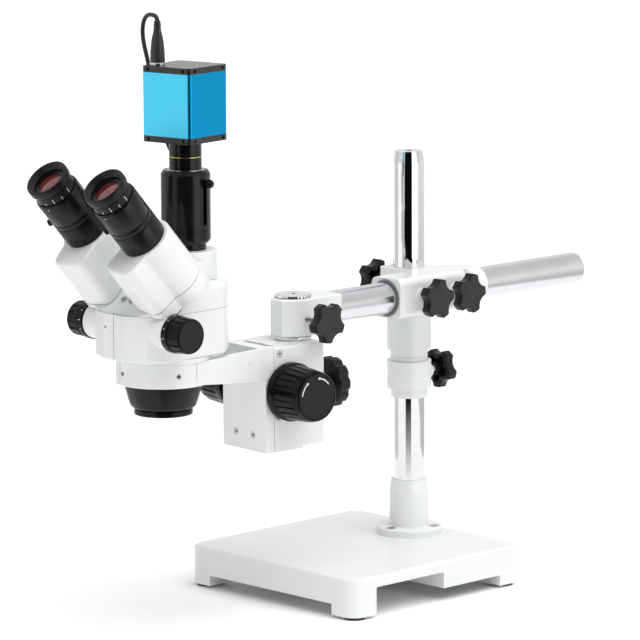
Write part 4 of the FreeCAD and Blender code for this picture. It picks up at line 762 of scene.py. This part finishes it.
def bright_dome():
    """A pale dome that only the reflections see, as a light tent would be."""
    vs, fs = [], []
    na, ne = 48, 12
    for j in range(ne + 1):
        e = math.radians(-1.0 + 91.0 * j / ne)
        for i in range(na):
            a = 2 * math.pi * i / na
            vs.append((7.0 * math.cos(e) * math.cos(a), 7.0 * math.cos(e) * math.sin(a), 7.0 * math.sin(e)))
    for j in range(ne):
        for i in range(na):
            k = (i + 1) % na
            fs.append((j * na + i, j * na + k, (j + 1) * na + k, (j + 1) * na + i))
    me = bpy.data.meshes.new("dome")
    me.from_pydata(vs, [], fs)
    o = bpy.data.objects.new("dome", me)
    bpy.context.scene.collection.objects.link(o)
    m, nt, b = new_mat("dome")
    b.inputs["Base Color"].default_value = (0, 0, 0, 1)
    b.inputs["Roughness"].default_value = 1.0
    b.inputs["Specular IOR Level"].default_value = 0.0
    b.inputs["Emission Color"].default_value = (0.985, 0.99, 1.0, 1)
    b.inputs["Emission Strength"].default_value = 0.86
    me.materials.append(m)
    o.visible_camera = False
    o.visible_diffuse = False
    o.visible_shadow = False
    o.visible_transmission = False
    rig.stage(o)


bright_dome()


def flag(name, centre, width, height, yaw):
    """A dark card beside the camera that only the polished parts see."""
    me = bpy.data.meshes.new(name)
    w, h = width / 2, height
    me.from_pydata([(-w, 0, -0.01), (w, 0, -0.01), (w, 0, h), (-w, 0, h)], [], [(0, 1, 2, 3)])
    o = bpy.data.objects.new(name, me)
    bpy.context.scene.collection.objects.link(o)
    o.location = centre
    o.rotation_euler = (0, 0, yaw)
    m, nt, b = new_mat(name)
    b.inputs["Base Color"].default_value = (0.004, 0.004, 0.004, 1)
    b.inputs["Roughness"].default_value = 0.9
    b.inputs["Specular IOR Level"].default_value = 0.0
    me.materials.append(m)
    o.visible_camera = False
    o.visible_diffuse = False
    o.visible_shadow = False
    o.visible_transmission = False
    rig.stage(o)
    return o


def panel(name, a, b, height, stops):
    """A standing card that glows evenly or by height, seen only by the reflections."""
    me = bpy.data.meshes.new(name)
    me.from_pydata([(a[0], a[1], -0.01), (b[0], b[1], -0.01), (b[0], b[1], height), (a[0], a[1], height)], [], [(0, 1, 2, 3)])
    o = bpy.data.objects.new(name, me)
    bpy.context.scene.collection.objects.link(o)
    m, nt, bs = new_mat(name)
    bs.inputs["Base Color"].default_value = (0, 0, 0, 1)
    bs.inputs["Roughness"].default_value = 1.0
    bs.inputs["Specular IOR Level"].default_value = 0.0
    g = nt.nodes.new("ShaderNodeNewGeometry")
    sz = nt.nodes.new("ShaderNodeSeparateXYZ")
    nt.links.new(g.outputs["Position"], sz.inputs["Vector"])
    nt.links.new(ramp(nt, sz.outputs["Z"], [(z, e / 3.0) for z, e in stops]), bs.inputs["Emission Color"])
    bs.inputs["Emission Strength"].default_value = 3.0
    me.materials.append(m)
    o.visible_camera = False
    o.visible_diffuse = False
    o.visible_shadow = False
    o.visible_transmission = False
    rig.stage(o)
    return o


def low_card():
    """A dark card lying in front of the stand that only the polished parts see."""
    n = 24
    vs, fs = [], []
    for i in range(n + 1):
        a = fa + math.radians(-20.0 + 40.0 * i / n)
        for d in (0.50, 1.45):
            vs.append((d * math.cos(a), 0.0777 + SHIFT * MM + d * math.sin(a), 0.0015))
    for i in range(n):
        fs.append((2 * i, 2 * i + 1, 2 * i + 3, 2 * i + 2))
    me = bpy.data.meshes.new("low_card")
    me.from_pydata(vs, [], fs)
    o = bpy.data.objects.new("low_card", me)
    bpy.context.scene.collection.objects.link(o)
    m, nt, b = new_mat("low_card")
    gp = nt.nodes.new("ShaderNodeNewGeometry")
    ln = nt.nodes.new("ShaderNodeVectorMath")
    ln.operation = "DISTANCE"
    nt.links.new(gp.outputs["Position"], ln.inputs[0])
    ln.inputs[1].default_value = (0.0, 0.0777 + SHIFT * MM, 0.0)
    mr = nt.nodes.new("ShaderNodeMapRange")
    nt.links.new(ln.outputs["Value"], mr.inputs["Value"])
    mr.inputs["From Min"].default_value = 0.50
    mr.inputs["From Max"].default_value = 0.95
    nt.links.new(ramp(nt, mr.outputs["Result"], [(0.0, 0.9), (0.5, 0.30), (1.0, 0.004)]), b.inputs["Base Color"])
    b.inputs["Roughness"].default_value = 0.9
    b.inputs["Specular IOR Level"].default_value = 0.0
    me.materials.append(m)
    o.visible_camera = False
    o.visible_diffuse = False
    o.visible_shadow = False
    o.visible_transmission = False
    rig.stage(o)


# the card stands across the camera's line, 6 degrees left of it
fa = math.atan2(-0.68835, 0.70636) - math.radians(5.9)
fd = 0.95
flag("flag", (fd * math.cos(fa), 0.0777 + SHIFT * MM + fd * math.sin(fa), 0.0), 2 * fd * math.tan(math.radians(26.6)), 1.3, fa + math.pi / 2)
low_card()
panel("side_panel", (-0.20, 0.7225 + SHIFT * MM), (0.90, 0.5425 + SHIFT * MM), 1.0, [(0.10, 0.66), (0.38, 1.0), (0.66, 0.70)])
panel("back_panel", (-0.41, -0.4125 + SHIFT * MM), (-0.63, -0.0325 + SHIFT * MM), 1.0, [(0.0, 0.75), (1.0, 0.75)])
panel("window", (1.5, -0.50 + SHIFT * MM), (1.5, 0.46 + SHIFT * MM), 1.2, [(0.0, 1.9), (1.0, 1.9)])

# ------------------------------------------------------------------ cord facts and finish
depsgraph = bpy.context.evaluated_depsgraph_get()


def curve_length(o):
    c = o.data.copy()
    c.bevel_depth = 0
    t = bpy.data.objects.new("measure", c)
    bpy.context.scene.collection.objects.link(t)
    dg = bpy.context.evaluated_depsgraph_get()
    me = bpy.data.meshes.new_from_object(t.evaluated_get(dg))
    L = sum((me.vertices[e.vertices[0]].co - me.vertices[e.vertices[1]].co).length for e in me.edges)
    bpy.data.objects.remove(t)
    bpy.data.meshes.remove(me)
    bpy.data.curves.remove(c)
    return L


print("LEAD LENGTH", round(curve_length(lead), 4))
ex = C() @ (Vector((-20.0, -15.5, 588.0)) * MM)
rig.cord(lead, exit=tuple(ex), length=1.5, diameter=LEAD_D * MM, far_end="plug", stiffness="limp", lay="coiled",
        with_pieces=[frame["nodes"]["usb_a_plug"], frame["nodes"]["cord_tie"]])
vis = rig.bounds()
with open("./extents.json", "w") as f:
    json.dump({"cad": [list(v) for v in cad_box], "visual": [list(v) for v in vis]}, f)
